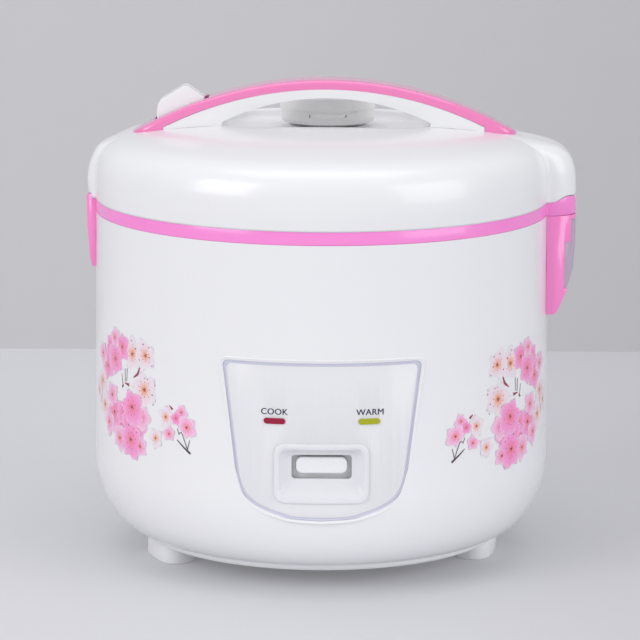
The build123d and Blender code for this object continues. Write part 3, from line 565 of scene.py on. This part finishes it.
STRIP = (213.0, 274.3)     # radius and crown height of the strip's top, in side view
STRIP_LOW = (205.0, 268.9)
STRIP_MIDDLE = 2.0
STRIP_TIPS = (-108.5, 111.0)
NOTCHES = (-91.0, 92.5)    # where the strip's underside steps down on to the lid
STRIP_HALF = 12.5
TIP_CORNER = 11.0
LEVER_SLOT = (-95.7, -65.0)
SLOT_HALF = 7.4
EDGE_ROUND = 2.8
FOOT_TIP = 242.6           # height of the strip's foot at its tip, and its rise to the notch
FOOT_RISE = 2.2


def arch(line, x):
    """Height of one of the strip's arcs."""
    radius, crown = line
    return crown - radius + math.sqrt(radius ** 2 - (x - STRIP_MIDDLE) ** 2)


def strip_half(x):
    """Half depth of the strip: full between its two rounded tips."""
    near = min(x - STRIP_TIPS[0], STRIP_TIPS[1] - x)
    if near >= TIP_CORNER:
        return STRIP_HALF
    return STRIP_HALF - TIP_CORNER + math.sqrt(max(0.0, TIP_CORNER ** 2 - (TIP_CORNER - near) ** 2))


def strip_under(x):
    """Height of the strip's underside: an arc over the handle, and a foot on the lid at each end."""
    if NOTCHES[0] < x < NOTCHES[1]:
        return arch(STRIP_LOW, x)
    tip, notch = (STRIP_TIPS[0], NOTCHES[0]) if x < 0 else (STRIP_TIPS[1], NOTCHES[1])
    share = (x - tip) / (notch - tip)
    return min(FOOT_TIP + FOOT_RISE * share, arch(STRIP, x) - 0.6)


def strip_section(x):
    """Depths and heights over the top of the strip, from front to back, its edges rounded."""
    half, top = strip_half(x), arch(STRIP, x)
    low = strip_under(x)
    bend = min(EDGE_ROUND, 0.6 * (top - low), 0.8 * half)
    front = [(-half + bend * (1 - math.cos(a)), top - bend * (1 - math.sin(a)) - 0.25)
             for a in [math.radians(15 * k) for k in range(7)]]
    slot = min(SLOT_HALF, half - bend)
    row = [(-half, low), (-half, low + 0.5 * (top - bend - low))] + front
    row += [(-slot, top - 0.05), (-0.6 * slot, top)]
    return row + [(-y, z) for y, z in reversed(row)]


def make_handle_strip():
    """The strip over the handle: a grid of cells, top and bottom, with the lever's slot left out.

    Top and bottom share their points along the two long sides, so those need no wall.
    """
    cuts = [0.0, 0.5, 1.2, 2.2, 3.6, 5.4, 7.8, 11.0, 14.0]
    stations = [STRIP_TIPS[0] + d for d in cuts] + [STRIP_TIPS[1] - d for d in cuts]
    stations += [NOTCHES[0] - 0.02, NOTCHES[0] + 0.02, NOTCHES[1] - 0.02, NOTCHES[1] + 0.02, *LEVER_SLOT]
    stations += [-90.0 + 5.0 * k for k in range(38)]
    stations = sorted(stations)
    verts, faces = [], []
    sections = [strip_section(x) for x in stations]
    width = len(sections[0])
    for x, section in zip(stations, sections):
        low = strip_under(x)
        verts += [(x, y, z) for y, z in section] + [(x, y, low) for y, z in section]

    def kept(i, j):
        if not (0 <= i < len(stations) - 1 and 0 <= j < width - 1):
            return False
        inside = abs(sections[i][j][0] + sections[i][j + 1][0]) / 2 < SLOT_HALF
        return not (inside and LEVER_SLOT[0] <= stations[i] and stations[i + 1] <= LEVER_SLOT[1])

    def corner(i, j, layer):
        return (2 * i + layer) * width + j

    for i in range(len(stations) - 1):
        for j in range(width - 1):
            if not kept(i, j):
                continue
            ring = ((i, j), (i + 1, j), (i + 1, j + 1), (i, j + 1))
            faces.append(tuple(corner(*p, 0) for p in ring))
            faces.append(tuple(corner(*p, 1) for p in reversed(ring)))
            beside = ((i, j - 1), (i + 1, j), (i, j + 1), (i - 1, j))
            for k, cell in enumerate(beside):
                a, b = ring[k], ring[(k + 1) % 4]
                long_side = k in (0, 2) and j in (0, width - 2)
                if not kept(*cell) and not long_side:
                    faces.append((corner(*a, 0), corner(*b, 0), corner(*b, 1), corner(*a, 1)))
    piece("handle_cover_skin", verts, faces, pink_strip, "lid", ["handle_cover"], 40,
          weld=0.001)


def make_release_lever():
    """The thumb wedge, with its stem down to the push link."""
    crown = [(-94.5, 249.6), (-94.8, 254.6), (-94.2, 258.8), (-92.4, 261.8), (-80.0, 269.4), (-78.4, 270.0),
             (-76.8, 269.6), (-67.8, 263.4), (-67.5, 262.4), (-70.5, 258.6), (-79.0, 252.6), (-87.0, 249.0),
             (-88.2, 245.4), (-93.0, 245.2)]
    verts, faces = side_prism(crown, -7.0, 7.0)
    wedge = piece("release_lever_skin", verts, faces, white_part, "thumb_release",
                  ["release_lever"])
    round_edges(wedge, 0.9, 3, 25)
    verts, faces = side_prism([(-92.0, 247.0), (-89.4, 247.0), (-89.4, 227.8), (-92.0, 227.8)], -2.4, 2.4)
    stem = piece("release_lever_stem", verts, faces, white_part, "thumb_release")
    round_edges(stem, 0.3, 2)


# Painted light: the vent's white is lighter than the other white plastic. It stands in for light that the
# vent, sitting in the handle's shade, does not get.
vent_white_painted_light = plastic("cooker_vent_white_painted_light", (0.88, 0.88, 0.87), 0.3, 0.00002, 0.03, coat=0.2)
make_vent_base()
make_handle_strip()
make_release_lever()
# The vent cap takes the same painted-light white.
dress(nodes["vent_cap"], vent_white_painted_light)
for node, width in (("handle", 1.6), ("hinge_seat", 0.9),
                    ("latch_catch", 0.8), ("dew_collector", 0.5), ("control_panel", 0.35),
                    ("cook_button", 0.5), ("feet", 1.0)):
    soften(node, width)


# ---------------------------------------------------------------- printed blossoms

DRUM_TOP = (198.6, 130.0)      # height and radius at the top of the drum
DRUM_BELLY = (58.5, 131.0)
PRINT_LIFT = 0.02              # the print stands this far off the drum
LAYER = 0.006                  # each blossom lies this far over the one before
PETAL_STEP = 0.001             # and each petal over its neighbour
STAMEN_STEP = 0.0045

TONES = {                      # colours from a petal's foot to its tip
    "deep": ((0.85, 0.14, 0.26), (0.91, 0.27, 0.56), (0.90, 0.33, 0.63), (0.89, 0.47, 0.72),
             (0.86, 0.70, 0.80)),
    "mid": ((0.87, 0.20, 0.26), (0.90, 0.40, 0.64), (0.89, 0.50, 0.72), (0.87, 0.62, 0.78),
            (0.83, 0.74, 0.81)),
    "pale": ((0.88, 0.30, 0.16), (0.85, 0.66, 0.70), (0.83, 0.73, 0.80), (0.82, 0.76, 0.83),
             (0.80, 0.79, 0.82)),
}
HEART = (0.16, 0.01, 0.015)
STAMEN = (0.24, 0.012, 0.03)
TWIG = (0.045, 0.02, 0.03)
BUD = (0.34, 0.02, 0.07)

# kind, angle from the front in degrees, height, petal length, turn in degrees
BLOSSOMS = (
    ("pale", 72.0, 105.5, 11.0, 10), ("pale", 70.0, 92.5, 10.5, 40), ("pale", 54.0, 128.0, 12.0, 0),
    ("pale", 48.5, 129.0, 10.5, 30), ("pale", 48.9, 109.4, 12.5, 15), ("deep", 66.0, 128.0, 8.0, 50),
    ("deep", 67.6, 116.0, 10.5, 20), ("deep", 58.9, 130.1, 9.5, 5), ("deep", 62.6, 122.0, 11.0, 36),
    ("deep", 58.5, 84.0, 10.5, 12), ("deep", 51.5, 88.0, 10.0, 44), ("deep", 63.1, 91.0, 12.0, 18),
    ("mid", 64.5, 100.5, 9.0, 30), ("mid", 60.0, 77.5, 9.0, 60), ("mid", 50.6, 76.5, 8.0, 15),
    ("mid", 49.9, 93.5, 8.5, 50), ("pale", 75.5, 98.5, 9.0, 0), ("mid", 71.5, 121.5, 8.5, 30),
    ("deep", 58.0, 92.5, 9.0, 55), ("mid", 66.5, 84.0, 8.5, 20), ("mid", 63.0, 134.0, 7.0, 15),
    ("deep", 55.0, 88.5, 10.0, 70), ("deep", 54.6, 78.8, 12.5, 0), ("deep", 54.0, 97.7, 12.5, 28),
    ("pale", 44.6, 83.6, 6.6, 20), ("pale", 41.1, 96.9, 6.6, 0), ("mid", 36.2, 101.0, 4.8, 33),
    ("deep", 37.8, 97.2, 4.8, 0), ("mid", 40.0, 87.7, 5.4, 10), ("mid", 34.5, 93.0, 7.4, 25),
)
# loose pollen: angle and height
POLLEN = ((54.4, 135.4), (49.4, 135.1), (47.2, 134.0), (47.0, 128.5), (46.0, 123.9), (44.9, 113.3),
          (45.9, 107.6), (45.6, 102.2), (48.7, 116.2), (50.9, 125.7), (52.5, 131.5), (47.6, 116.0),
          (55.6, 87.0), (53.2, 85.5), (58.0, 98.0), (52.0, 84.0))
# tapering strokes: colour, thickness at each end, then angle and height along the stroke
STROKES = (
    (TWIG, 0.45, 1.2, ((37.4, 85.1), (35.4, 81.6), (33.4, 78.5))),
    (TWIG, 0.45, 0.32, ((34.4, 81.2), (35.2, 85.6), (36.1, 89.7), (37.0, 88.3))),
    (TWIG, 0.45, 0.32, ((34.3, 80.4), (33.9, 83.4), (33.6, 86.2))),
    (TWIG, 0.38, 0.38, ((56.2, 119.0), (56.5, 111.5))), (TWIG, 0.38, 0.38, ((58.9, 114.8), (58.3, 107.5))),
    (TWIG, 0.38, 0.38, ((57.3, 118.5), (57.2, 111.0))), (TWIG, 0.36, 0.36, ((37.4, 91.4), (36.9, 88.9))),
    (BUD, 0.5, 1.9, ((57.4, 110.2), (55.4, 109.7))), (BUD, 1.4, 0.6, ((58.7, 107.3), (58.1, 109.0))),
    (BUD, 0.6, 1.6, ((50.7, 121.5), (51.6, 117.4))), (BUD, 1.6, 0.5, ((51.6, 117.4), (53.4, 114.8))),
    (BUD, 0.5, 1.4, ((39.9, 103.8), (38.9, 101.8))),
)


class Print:
    """Flat print wrapped round the drum, each stroke a hair above the last."""

    def __init__(self, side, drop):
        self.side, self.drop = side, drop
        self.verts, self.faces, self.colors = [], [], []
        self.lift = 0.0

    def wrap(self, angle, height, lift):
        """Angle from the front in degrees, height in millimetres."""
        z = height - self.drop
        (top, r_top), (belly, r_belly) = DRUM_TOP, DRUM_BELLY
        radius = r_top + (r_belly - r_top) * (top - z) / (top - belly) + PRINT_LIFT + lift
        turn = math.radians(angle)
        return (self.side * radius * math.sin(turn), -radius * math.cos(turn), z)

    def patch(self, rows, colors):
        """A grid of (angle, height) points, one colour per point."""
        start, width = len(self.verts), len(rows[0])
        for row in rows:
            for angle, height in row:
                self.verts.append(self.wrap(angle, height, self.lift))
        self.colors += [c for row in colors for c in row]
        for r in range(len(rows) - 1):
            for c in range(width - 1):
                a = start + r * width + c
                self.faces.append((a, a + 1, a + width + 1, a + width))


def place(angle, height, across, up):
    """Millimetres on the drum's surface, measured from a spot on it."""
    return angle + math.degrees(across / DRUM_BELLY[1]), height + up


def mix(a, b, share):
    return tuple(x + (y - x) * share for x, y in zip(a, b))


def tone_at(tones, share):
    """The colour part of the way along a row of tones."""
    spot = share * (len(tones) - 1)
    low = min(int(spot), len(tones) - 2)
    return mix(tones[low], tones[low + 1], spot - low)


def add_petal(sheet, angle, height, length, turn, tones, dice):
    """One notched petal, its colour running from foot to tip."""
    rows, colors = [], []
    length *= dice.uniform(0.86, 1.08)
    turn += dice.uniform(-0.14, 0.14)
    width = length * dice.uniform(0.36, 0.44)
    curl = dice.uniform(-0.16, 0.16)
    for k in range(9):
        u = k / 8
        half = width * (math.sin(math.pi * min(1.0, 0.06 + 0.94 * u) ** 1.35) ** 0.7) * (1 - 0.1 * u)
        row, shades = [], []
        for j in range(-4, 5):
            v = j / 4
            notch = 0.2 * math.exp(-(v / 0.24) ** 2) * u ** 6
            along = length * (0.05 + 0.95 * u * (1 - notch) * (1 - 0.10 * v * v * u))
            side = half * v + curl * length * u * u
            across = side * math.cos(turn) + along * math.sin(turn)
            up = along * math.cos(turn) - side * math.sin(turn)
            row.append(place(angle, height, across, up))
            vein = 0.06 * math.cos(v * 9.0) * u
            shades.append(tone_at(tones, min(1.0, max(0.0, u * (0.78 + 0.22 * v * v) + vein))))
        rows.append(row)
        colors.append(shades)
    sheet.patch(rows, colors)


def add_stroke(sheet, color, thin, thick, points):
    """A line drawn with a brush, from one thickness to the other."""
    scale = math.radians(1) * DRUM_BELLY[1]
    line = smooth_line([(a * scale, z) for a, z in points], 4)
    rows, colors = [], []
    for k, (x, z) in enumerate(line):
        ahead, behind = line[min(k + 1, len(line) - 1)], line[max(k - 1, 0)]
        dx, dz = ahead[0] - behind[0], ahead[1] - behind[1]
        size = math.hypot(dx, dz) or 1.0
        half = (thin + (thick - thin) * k / (len(line) - 1)) / 2
        rows.append([((x - s * half * dz / size) / scale, z + s * half * dx / size) for s in (-1, 0, 1)])
        colors.append([color] * 3)
    sheet.patch(rows, colors)


def add_dot(sheet, angle, height, radius, color):
    """A round dot: a ring of quads with its small middle closed."""
    rows = [[place(angle, height, r * radius * math.cos(a), r * radius * math.sin(a))
             for a in [math.radians(45 * k) for k in range(9)]] for r in (0.15, 1.0)]
    sheet.patch(rows, [[color] * 9] * 2)
    sheet.patch([rows[0][:5], list(reversed(rows[0][4:]))], [[color] * 5] * 2)


def add_blossom(sheet, kind, angle, height, length, turn, dice):
    """Five petals, nine stamens and a dark star at the heart."""
    tones = TONES[kind]
    base = sheet.lift
    for k in range(5):
        sheet.lift = base + k * PETAL_STEP
        add_petal(sheet, angle, height, length, math.radians(turn + 72 * k), tones, dice)
    sheet.lift = base + STAMEN_STEP
    glow = mix(tones[0], (0.95, 0.45, 0.25), 0.5)
    for k in range(9):
        a = math.radians(40 * k + turn * 2 + dice.uniform(-8, 8))
        reach = length * dice.uniform(0.28, 0.46)
        spot = place(angle, height, reach * math.sin(a), reach * math.cos(a))
        add_stroke(sheet, glow, length * 0.035, length * 0.02, ((angle, height), spot))
        add_dot(sheet, *spot, max(0.16, length * 0.025), STAMEN)
    for k in range(5):
        a = math.radians(72 * k + turn)
        spot = place(angle, height, length * 0.13 * math.sin(a), length * 0.13 * math.cos(a))
        add_stroke(sheet, HEART, length * 0.075, length * 0.02, ((angle, height), spot))


def material_print():
    material, n, l, s = graph("cooker_print")
    ink = n.new("ShaderNodeAttribute")
    ink.attribute_name = "ink"
    speckle = add_noise(n, l, 900, 2)
    shade = n.new("ShaderNodeMix")
    shade.data_type = "RGBA"
    shade.blend_type = "MULTIPLY"
    shade.inputs["Factor"].default_value = 1
    l.new(ink.outputs["Color"], shade.inputs["A"])
    l.new(two_tone(n, l, speckle, (0.93, 0.93, 0.93), (1, 1, 1)), shade.inputs["B"])
    l.new(shade.outputs["Result"], s.inputs["Base Color"])
    l.new(ramp(n, l, speckle, 0.2, 0.3), s.inputs["Roughness"])
    s.inputs["Coat Weight"].default_value = 0.35
    return material


print_ink = material_print()


def make_spray(name, side, drop):
    """A whole spray; side mirrors it, drop lowers it."""
    dice = random.Random(7)
    sheet = Print(side, drop)
    for number, (kind, angle, height, length, turn) in enumerate(BLOSSOMS):
        sheet.lift = number * LAYER
        add_blossom(sheet, kind, angle, height, length, turn, dice)
    sheet.lift += LAYER
    for color, thin, thick, points in STROKES:
        add_stroke(sheet, color, thin, thick, points)
    for angle, height in POLLEN:
        add_dot(sheet, angle, height, dice.uniform(0.3, 0.5), STAMEN)
    mesh_piece = piece(name, sheet.verts, sheet.faces, print_ink, "cooker_body")
    tint = mesh_piece.data.color_attributes.new("ink", "FLOAT_COLOR", "POINT")
    for k, color in enumerate(sheet.colors):
        tint.data[k].color = (*color, 1)


make_spray("blossom_print_left", -1, 0.0)
make_spray("blossom_print_right", 1, 4.2)


# ---------------------------------------------------------------- panel

PANEL_X = 0.4
PANEL_FACE = 130.2
# the lip round the panel and the channel inside it: distance out from the outline, and radius
LIP = ((2.1, 129.9), (2.0, 130.5), (1.75, 130.8), (1.3, 130.9), (0.8, 130.75), (0.35, 130.3), (0.1, 129.9))
CHANNEL = ((0.15, 130.0), (-0.2, 129.6), (-0.7, 129.3), (-1.2, 129.2), (-1.8, 129.2))
CHANNEL_TUCK = 0.96        # its inner edge is drawn in by this share, under the panel
PANEL_MIDDLE = 92.0


def panel_half_line():
    """Right half of the shield outline (x, z), from the bottom point round to the top middle."""
    low = smooth_line([(0.0, 45.9), (22.0, 48.0), (40.6, 56.8), (47.6, 75.0)], 8)
    corner = [(54.8 - 3.0 + 3.0 * math.sin(a), 131.0 + 3.0 * math.cos(a))
              for a in [math.radians(84 - 14 * k) for k in range(7)]]
    side = [(47.6 + (54.6 - 47.6) * k / 6, 75.0 + (130.6 - 75.0) * k / 6) for k in range(1, 6)]
    top = [(51.8 * (1 - k / 8), 134.0) for k in range(1, 9)]
    return low + side + corner + top


def panel_loop(grow):
    """The whole outline, moved outwards by grow."""
    right = panel_half_line()
    loop = right + [(-x, z) for x, z in reversed(right[1:-1])]
    moved = []
    for k, (x, z) in enumerate(loop):
        (ax, az), (bx, bz) = loop[k - 1], loop[(k + 1) % len(loop)]
        dx, dz = bx - ax, bz - az
        size = math.hypot(dx, dz)
        moved.append((PANEL_X + x + grow * dz / size, z - grow * dx / size))
    return moved


def on_front(x, z, radius):
    """A point at x and z on a cylinder of that radius, on the front."""
    return (x, -math.sqrt(radius ** 2 - x ** 2), z)


def make_band(name, rows, material):
    verts, faces = skin(rows)
    thicken(piece(name, verts, faces, material, "cooker_body", sharp=75), 0.4)


def make_reveal():
    """A raised lip round the panel, and the shallow channel it falls into; the channel's darker lavender
    colour is painted shade.
    """
    lip, channel = ([[on_front(x, z, radius) for x, z in panel_loop(grow)] for grow, radius in profile]
                    for profile in (LIP, CHANNEL))
    grow, radius = CHANNEL[-1]
    channel.append([on_front(PANEL_X + CHANNEL_TUCK * (x - PANEL_X),
                             PANEL_MIDDLE + CHANNEL_TUCK * (z - PANEL_MIDDLE), radius)
                    for x, z in panel_loop(grow)])
    make_band("control_panel_lip", lip, white_part)
    make_band("control_panel_channel", channel, channel_white_painted_shade)


BEZEL_MID = 72.15          # height of the bezel's middle
BEZEL_SIZE = (52.0, 33.1)
SCOOP = (47.2, 27.0, 72.7)  # width, height and middle height of the scooped mouth
SLOT = (33.2, 13.6, 75.2)
SLOT_FRONT = 125.2


def box_loop(width, height, corner, z_mid, per_corner=7, per_side=6):
    """A rounded rectangle as (x, z), the same number of points whatever its size."""
    w, h = width / 2 - corner, height / 2 - corner
    arcs = []
    for number, (cx, cz) in enumerate(((w, h), (-w, h), (-w, -h), (w, -h))):
        turns = [math.radians(90 * (number + k / (per_corner - 1))) for k in range(per_corner)]
        arcs.append([(cx + corner * math.cos(a), cz + corner * math.sin(a)) for a in turns])
    loop = []
    for arc, after in zip(arcs, arcs[1:] + arcs[:1]):
        (ax, az), (bx, bz) = arc[-1], after[0]
        loop += arc
        loop += [(ax + (bx - ax) * k / per_side, az + (bz - az) * k / per_side) for k in range(1, per_side)]
    return [(PANEL_X + x, z_mid + z) for x, z in loop]


def make_bezel():
    """A raised frame with a scooped mouth that runs in to the button's slot, coloured a greyer lavender
    white as painted shade for the scoop.
    """
    rows = []
    for inset, radius in ((-0.25, 129.6), (-0.2, 130.3), (0.0, 130.9), (0.35, 131.25), (0.9, 131.4),
                          (1.5, 131.4)):
        loop = box_loop(BEZEL_SIZE[0] - 2 * inset, BEZEL_SIZE[1] - 2 * inset, 5.6 - inset, BEZEL_MID)
        rows.append([on_front(x, z, radius) for x, z in loop])
    width, height, middle = SCOOP
    for inset, radius in ((0.0, 131.3), (0.45, 130.9), (0.75, 130.2)):
        loop = box_loop(width - 2 * inset, height - 2 * inset, 4.6 - inset, middle)
        rows.append([on_front(x, z, radius) for x, z in loop])
    lip = rows[-1]
    slot = box_loop(SLOT[0], SLOT[1], 2.0, SLOT[2])
    for share in (0.12, 0.3, 0.5, 0.7, 0.88, 1.0):
        sink = 1 - (1 - share) ** 1.9
        rows.append([(lx + share * (x - lx), ly + sink * (-SLOT_FRONT - ly), lz + share * (z - lz))
                     for (lx, ly, lz), (x, z) in zip(lip, slot)])
    for inset, front in ((0.15, SLOT_FRONT - 0.3), (0.2, 123.4)):
        loop = box_loop(SLOT[0] - 2 * inset, SLOT[1] - 2 * inset, 2.0, SLOT[2])
        rows.append([(x, -front, z) for x, z in loop])
    verts, faces = skin(rows)
    frame_piece = piece("button_bezel_skin", verts, faces, bezel_white_painted_shade, "cooker_body",
                        ["button_bezel"], 50)
    thicken(frame_piece, 0.8)


STRIKE = 0.07              # sideways step between the strikes of a word


def make_label(name, words, x_mid, z_low, height):
    """Raised print of a plain word on the panel's curve, struck three times for its weight."""
    curve = bpy.data.curves.new(name, "FONT")
    curve.body = words
    curve.align_x = "CENTER"
    curve.size = height * 1.36
    curve.space_character = 1.06
    curve.extrude = 0.05
    holder = bpy.data.objects.new(name, curve)
    bpy.context.scene.collection.objects.link(holder)
    bpy.context.view_layer.update()
    flat = bpy.data.meshes.new_from_object(holder.evaluated_get(bpy.context.evaluated_depsgraph_get()))
    bpy.data.objects.remove(holder)
    verts, faces = [], []
    for strike in (-1, 0, 1):
        start = len(verts)
        verts += [on_front(x_mid + v.co.x + STRIKE * strike, z_low + v.co.y, PANEL_FACE + 0.06 + v.co.z
                           + 0.003 * strike) for v in flat.vertices]
        faces += [tuple(start + k for k in p.vertices) for p in flat.polygons]
    piece(name, verts, faces, label_ink, "cooker_body")


# Painted shade: the channel round the panel is coloured a darker lavender white, standing in for the shade
# in the groove.
channel_white_painted_shade = plastic("cooker_channel_white_painted_shade", (0.62, 0.62, 0.745), 0.34, 0.00001, 0.02, coat=0.2)
panel_white = plastic("cooker_panel_white", (0.74, 0.745, 0.77), 0.3, 0.00001, 0.01, coat=0.1)
dress(nodes["control_panel"], panel_white)
label_ink = plastic("cooker_label_ink", (0.02, 0.025, 0.07), 0.45, 0.00001, 0.2)
# Painted shade: the bezel's white is darker and more lavender than the body's, standing in for the shade in
# its scooped mouth.
bezel_white_painted_shade = plastic("cooker_bezel_white_painted_shade", (0.74, 0.745, 0.78), 0.32, 0.00002, 0.02, coat=0.15)
make_reveal()
make_bezel()
make_label("label_cook", "COOK", -25.6, 105.0, 3.5)
make_label("label_warm", "WARM", 26.8, 105.0, 3.5)


# ---------------------------------------------------------------- floor, lights, camera

def paper(name, color, side_painted_shade, glow=0.0):
    """Matt studio paper, with painted shade making it a little darker towards the right; glow is painted
    light, the paper itself emitting, which lifts the shadows on it.
    """
    material, n, l, s = graph(name)
    where = n.new("ShaderNodeTexCoord")
    parts = n.new("ShaderNodeSeparateXYZ")
    l.new(where.outputs["Object"], parts.inputs["Vector"])
    # Painted shade: the paper's colour darkens from x = -0.1 m to 0.35 m, towards the right.
    fall = n.new("ShaderNodeMapRange")
    fall.interpolation_type = "SMOOTHSTEP"
    fall.inputs["From Min"].default_value = -0.1
    fall.inputs["From Max"].default_value = 0.35
    l.new(parts.outputs["X"], fall.inputs["Value"])
    dark = tuple(c * side_painted_shade for c in color)
    l.new(two_tone(n, l, fall.outputs["Result"], color, dark), s.inputs["Base Color"])
    l.new(ramp(n, l, add_noise(n, l, 300, 2), 0.66, 0.74), s.inputs["Roughness"])
    # Painted light: the paper glows by its own emission, so the shadow under the cooker comes out lighter.
    s.inputs["Emission Color"].default_value = (0.97, 0.97, 1.0, 1)
    s.inputs["Emission Strength"].default_value = glow
    return material


def make_sheet(name, corners, material):
    """One flat sheet of the studio."""
    mesh = bpy.data.meshes.new(name)
    mesh.from_pydata(corners, [], [(0, 1, 2, 3)])
    mesh.materials.append(material)
    obj = bpy.data.objects.new(name, mesh)
    bpy.context.scene.collection.objects.link(obj)


def see_through_behind(material):
    """Leaves the sheet's back clear, so that it hides nothing from behind."""
    n, l = material.node_tree.nodes, material.node_tree.links
    side = n.new("ShaderNodeNewGeometry")
    clear_back = n.new("ShaderNodeBsdfTransparent")
    choose = n.new("ShaderNodeMixShader")
    l.new(side.outputs["Backfacing"], choose.inputs["Fac"])
    l.new(n["Principled BSDF"].outputs["BSDF"], choose.inputs[1])
    l.new(clear_back.outputs["BSDF"], choose.inputs[2])
    l.new(choose.outputs["Shader"], n["Material Output"].inputs["Surface"])
    return material


def make_backdrop():
    """A paper floor, and a wall standing on it behind the cooker."""
    wall_at, half, rise = 0.574, 5.0, 3.0
    # The floor paper's glow of 0.13 is painted light that lightens its shadows; both sheets carry the
    # painted shade towards the right.
    floor_paper = paper("studio_floor_paper", (0.52, 0.52, 0.555), 0.82, 0.13)
    wall_paper = see_through_behind(paper("studio_wall_paper", (0.54, 0.54, 0.56), 0.89))
    make_sheet("studio_floor", [(-half, -half, 0), (half, -half, 0), (half, half, 0), (-half, half, 0)],
               floor_paper)
    make_sheet("studio_wall", [(-half, wall_at, 0), (half, wall_at, 0), (half, wall_at, rise),
                               (-half, wall_at, rise)], wall_paper)


def softbox(name, place, target, size, watts, color=(1, 1, 1)):
    """A soft area light that the camera doesn't see, its place and size in metres."""
    data = bpy.data.lights.new(name, "AREA")
    data.shape = "RECTANGLE"
    data.size, data.size_y = size
    data.energy = watts
    data.color = color
    obj = bpy.data.objects.new(name, data)
    obj.location = place
    obj.visible_camera = False
    obj.rotation_euler = (Vector(target) - Vector(place)).to_track_quat("-Z", "Y").to_euler()
    bpy.context.scene.collection.objects.link(obj)
    return obj


make_backdrop()
softbox("key_left", (-1.9, -1.5, 1.3), (0, 0, 0.12), (1.4, 1.6), 24, (1.0, 0.99, 0.98))
softbox("fill_right", (2.0, -1.3, 0.9), (0, 0, 0.12), (1.6, 1.6), 19, (0.98, 0.98, 1.0))
softbox("top", (0, 0.1, 2.3), (0, 0, 0.1), (2.0, 1.6), 13)
softbox("front_low", (0.0, -1.9, 0.03), (0, 0, 0.12), (2.4, 0.5), 1)
floor_glow = softbox("floor_glow", (0.0, -0.215, 0.003), (0, -0.215, 1), (0.34, 0.17), 0.045)
floor_glow.visible_glossy = False

world = bpy.data.worlds.new("studio")
world.use_nodes = True
world.node_tree.nodes["Background"].inputs["Color"].default_value = (0.95, 0.95, 0.96, 1)
world.node_tree.nodes["Background"].inputs["Strength"].default_value = 0.70
bpy.context.scene.world = world
bpy.context.scene.view_settings.view_transform = "Standard"

camera_data = bpy.data.cameras.new("camera")
camera_data.lens = 197.7
camera_data.sensor_width = 36
camera = bpy.data.objects.new("camera", camera_data)
camera.location = (-0.0009, -2.0, 0.5168)
camera.rotation_euler = (math.radians(90 - 10.86), 0, 0)
camera.rotation_euler.rotate_axis("Z", math.radians(0.3))
bpy.context.scene.collection.objects.link(camera)
bpy.context.scene.camera = camera
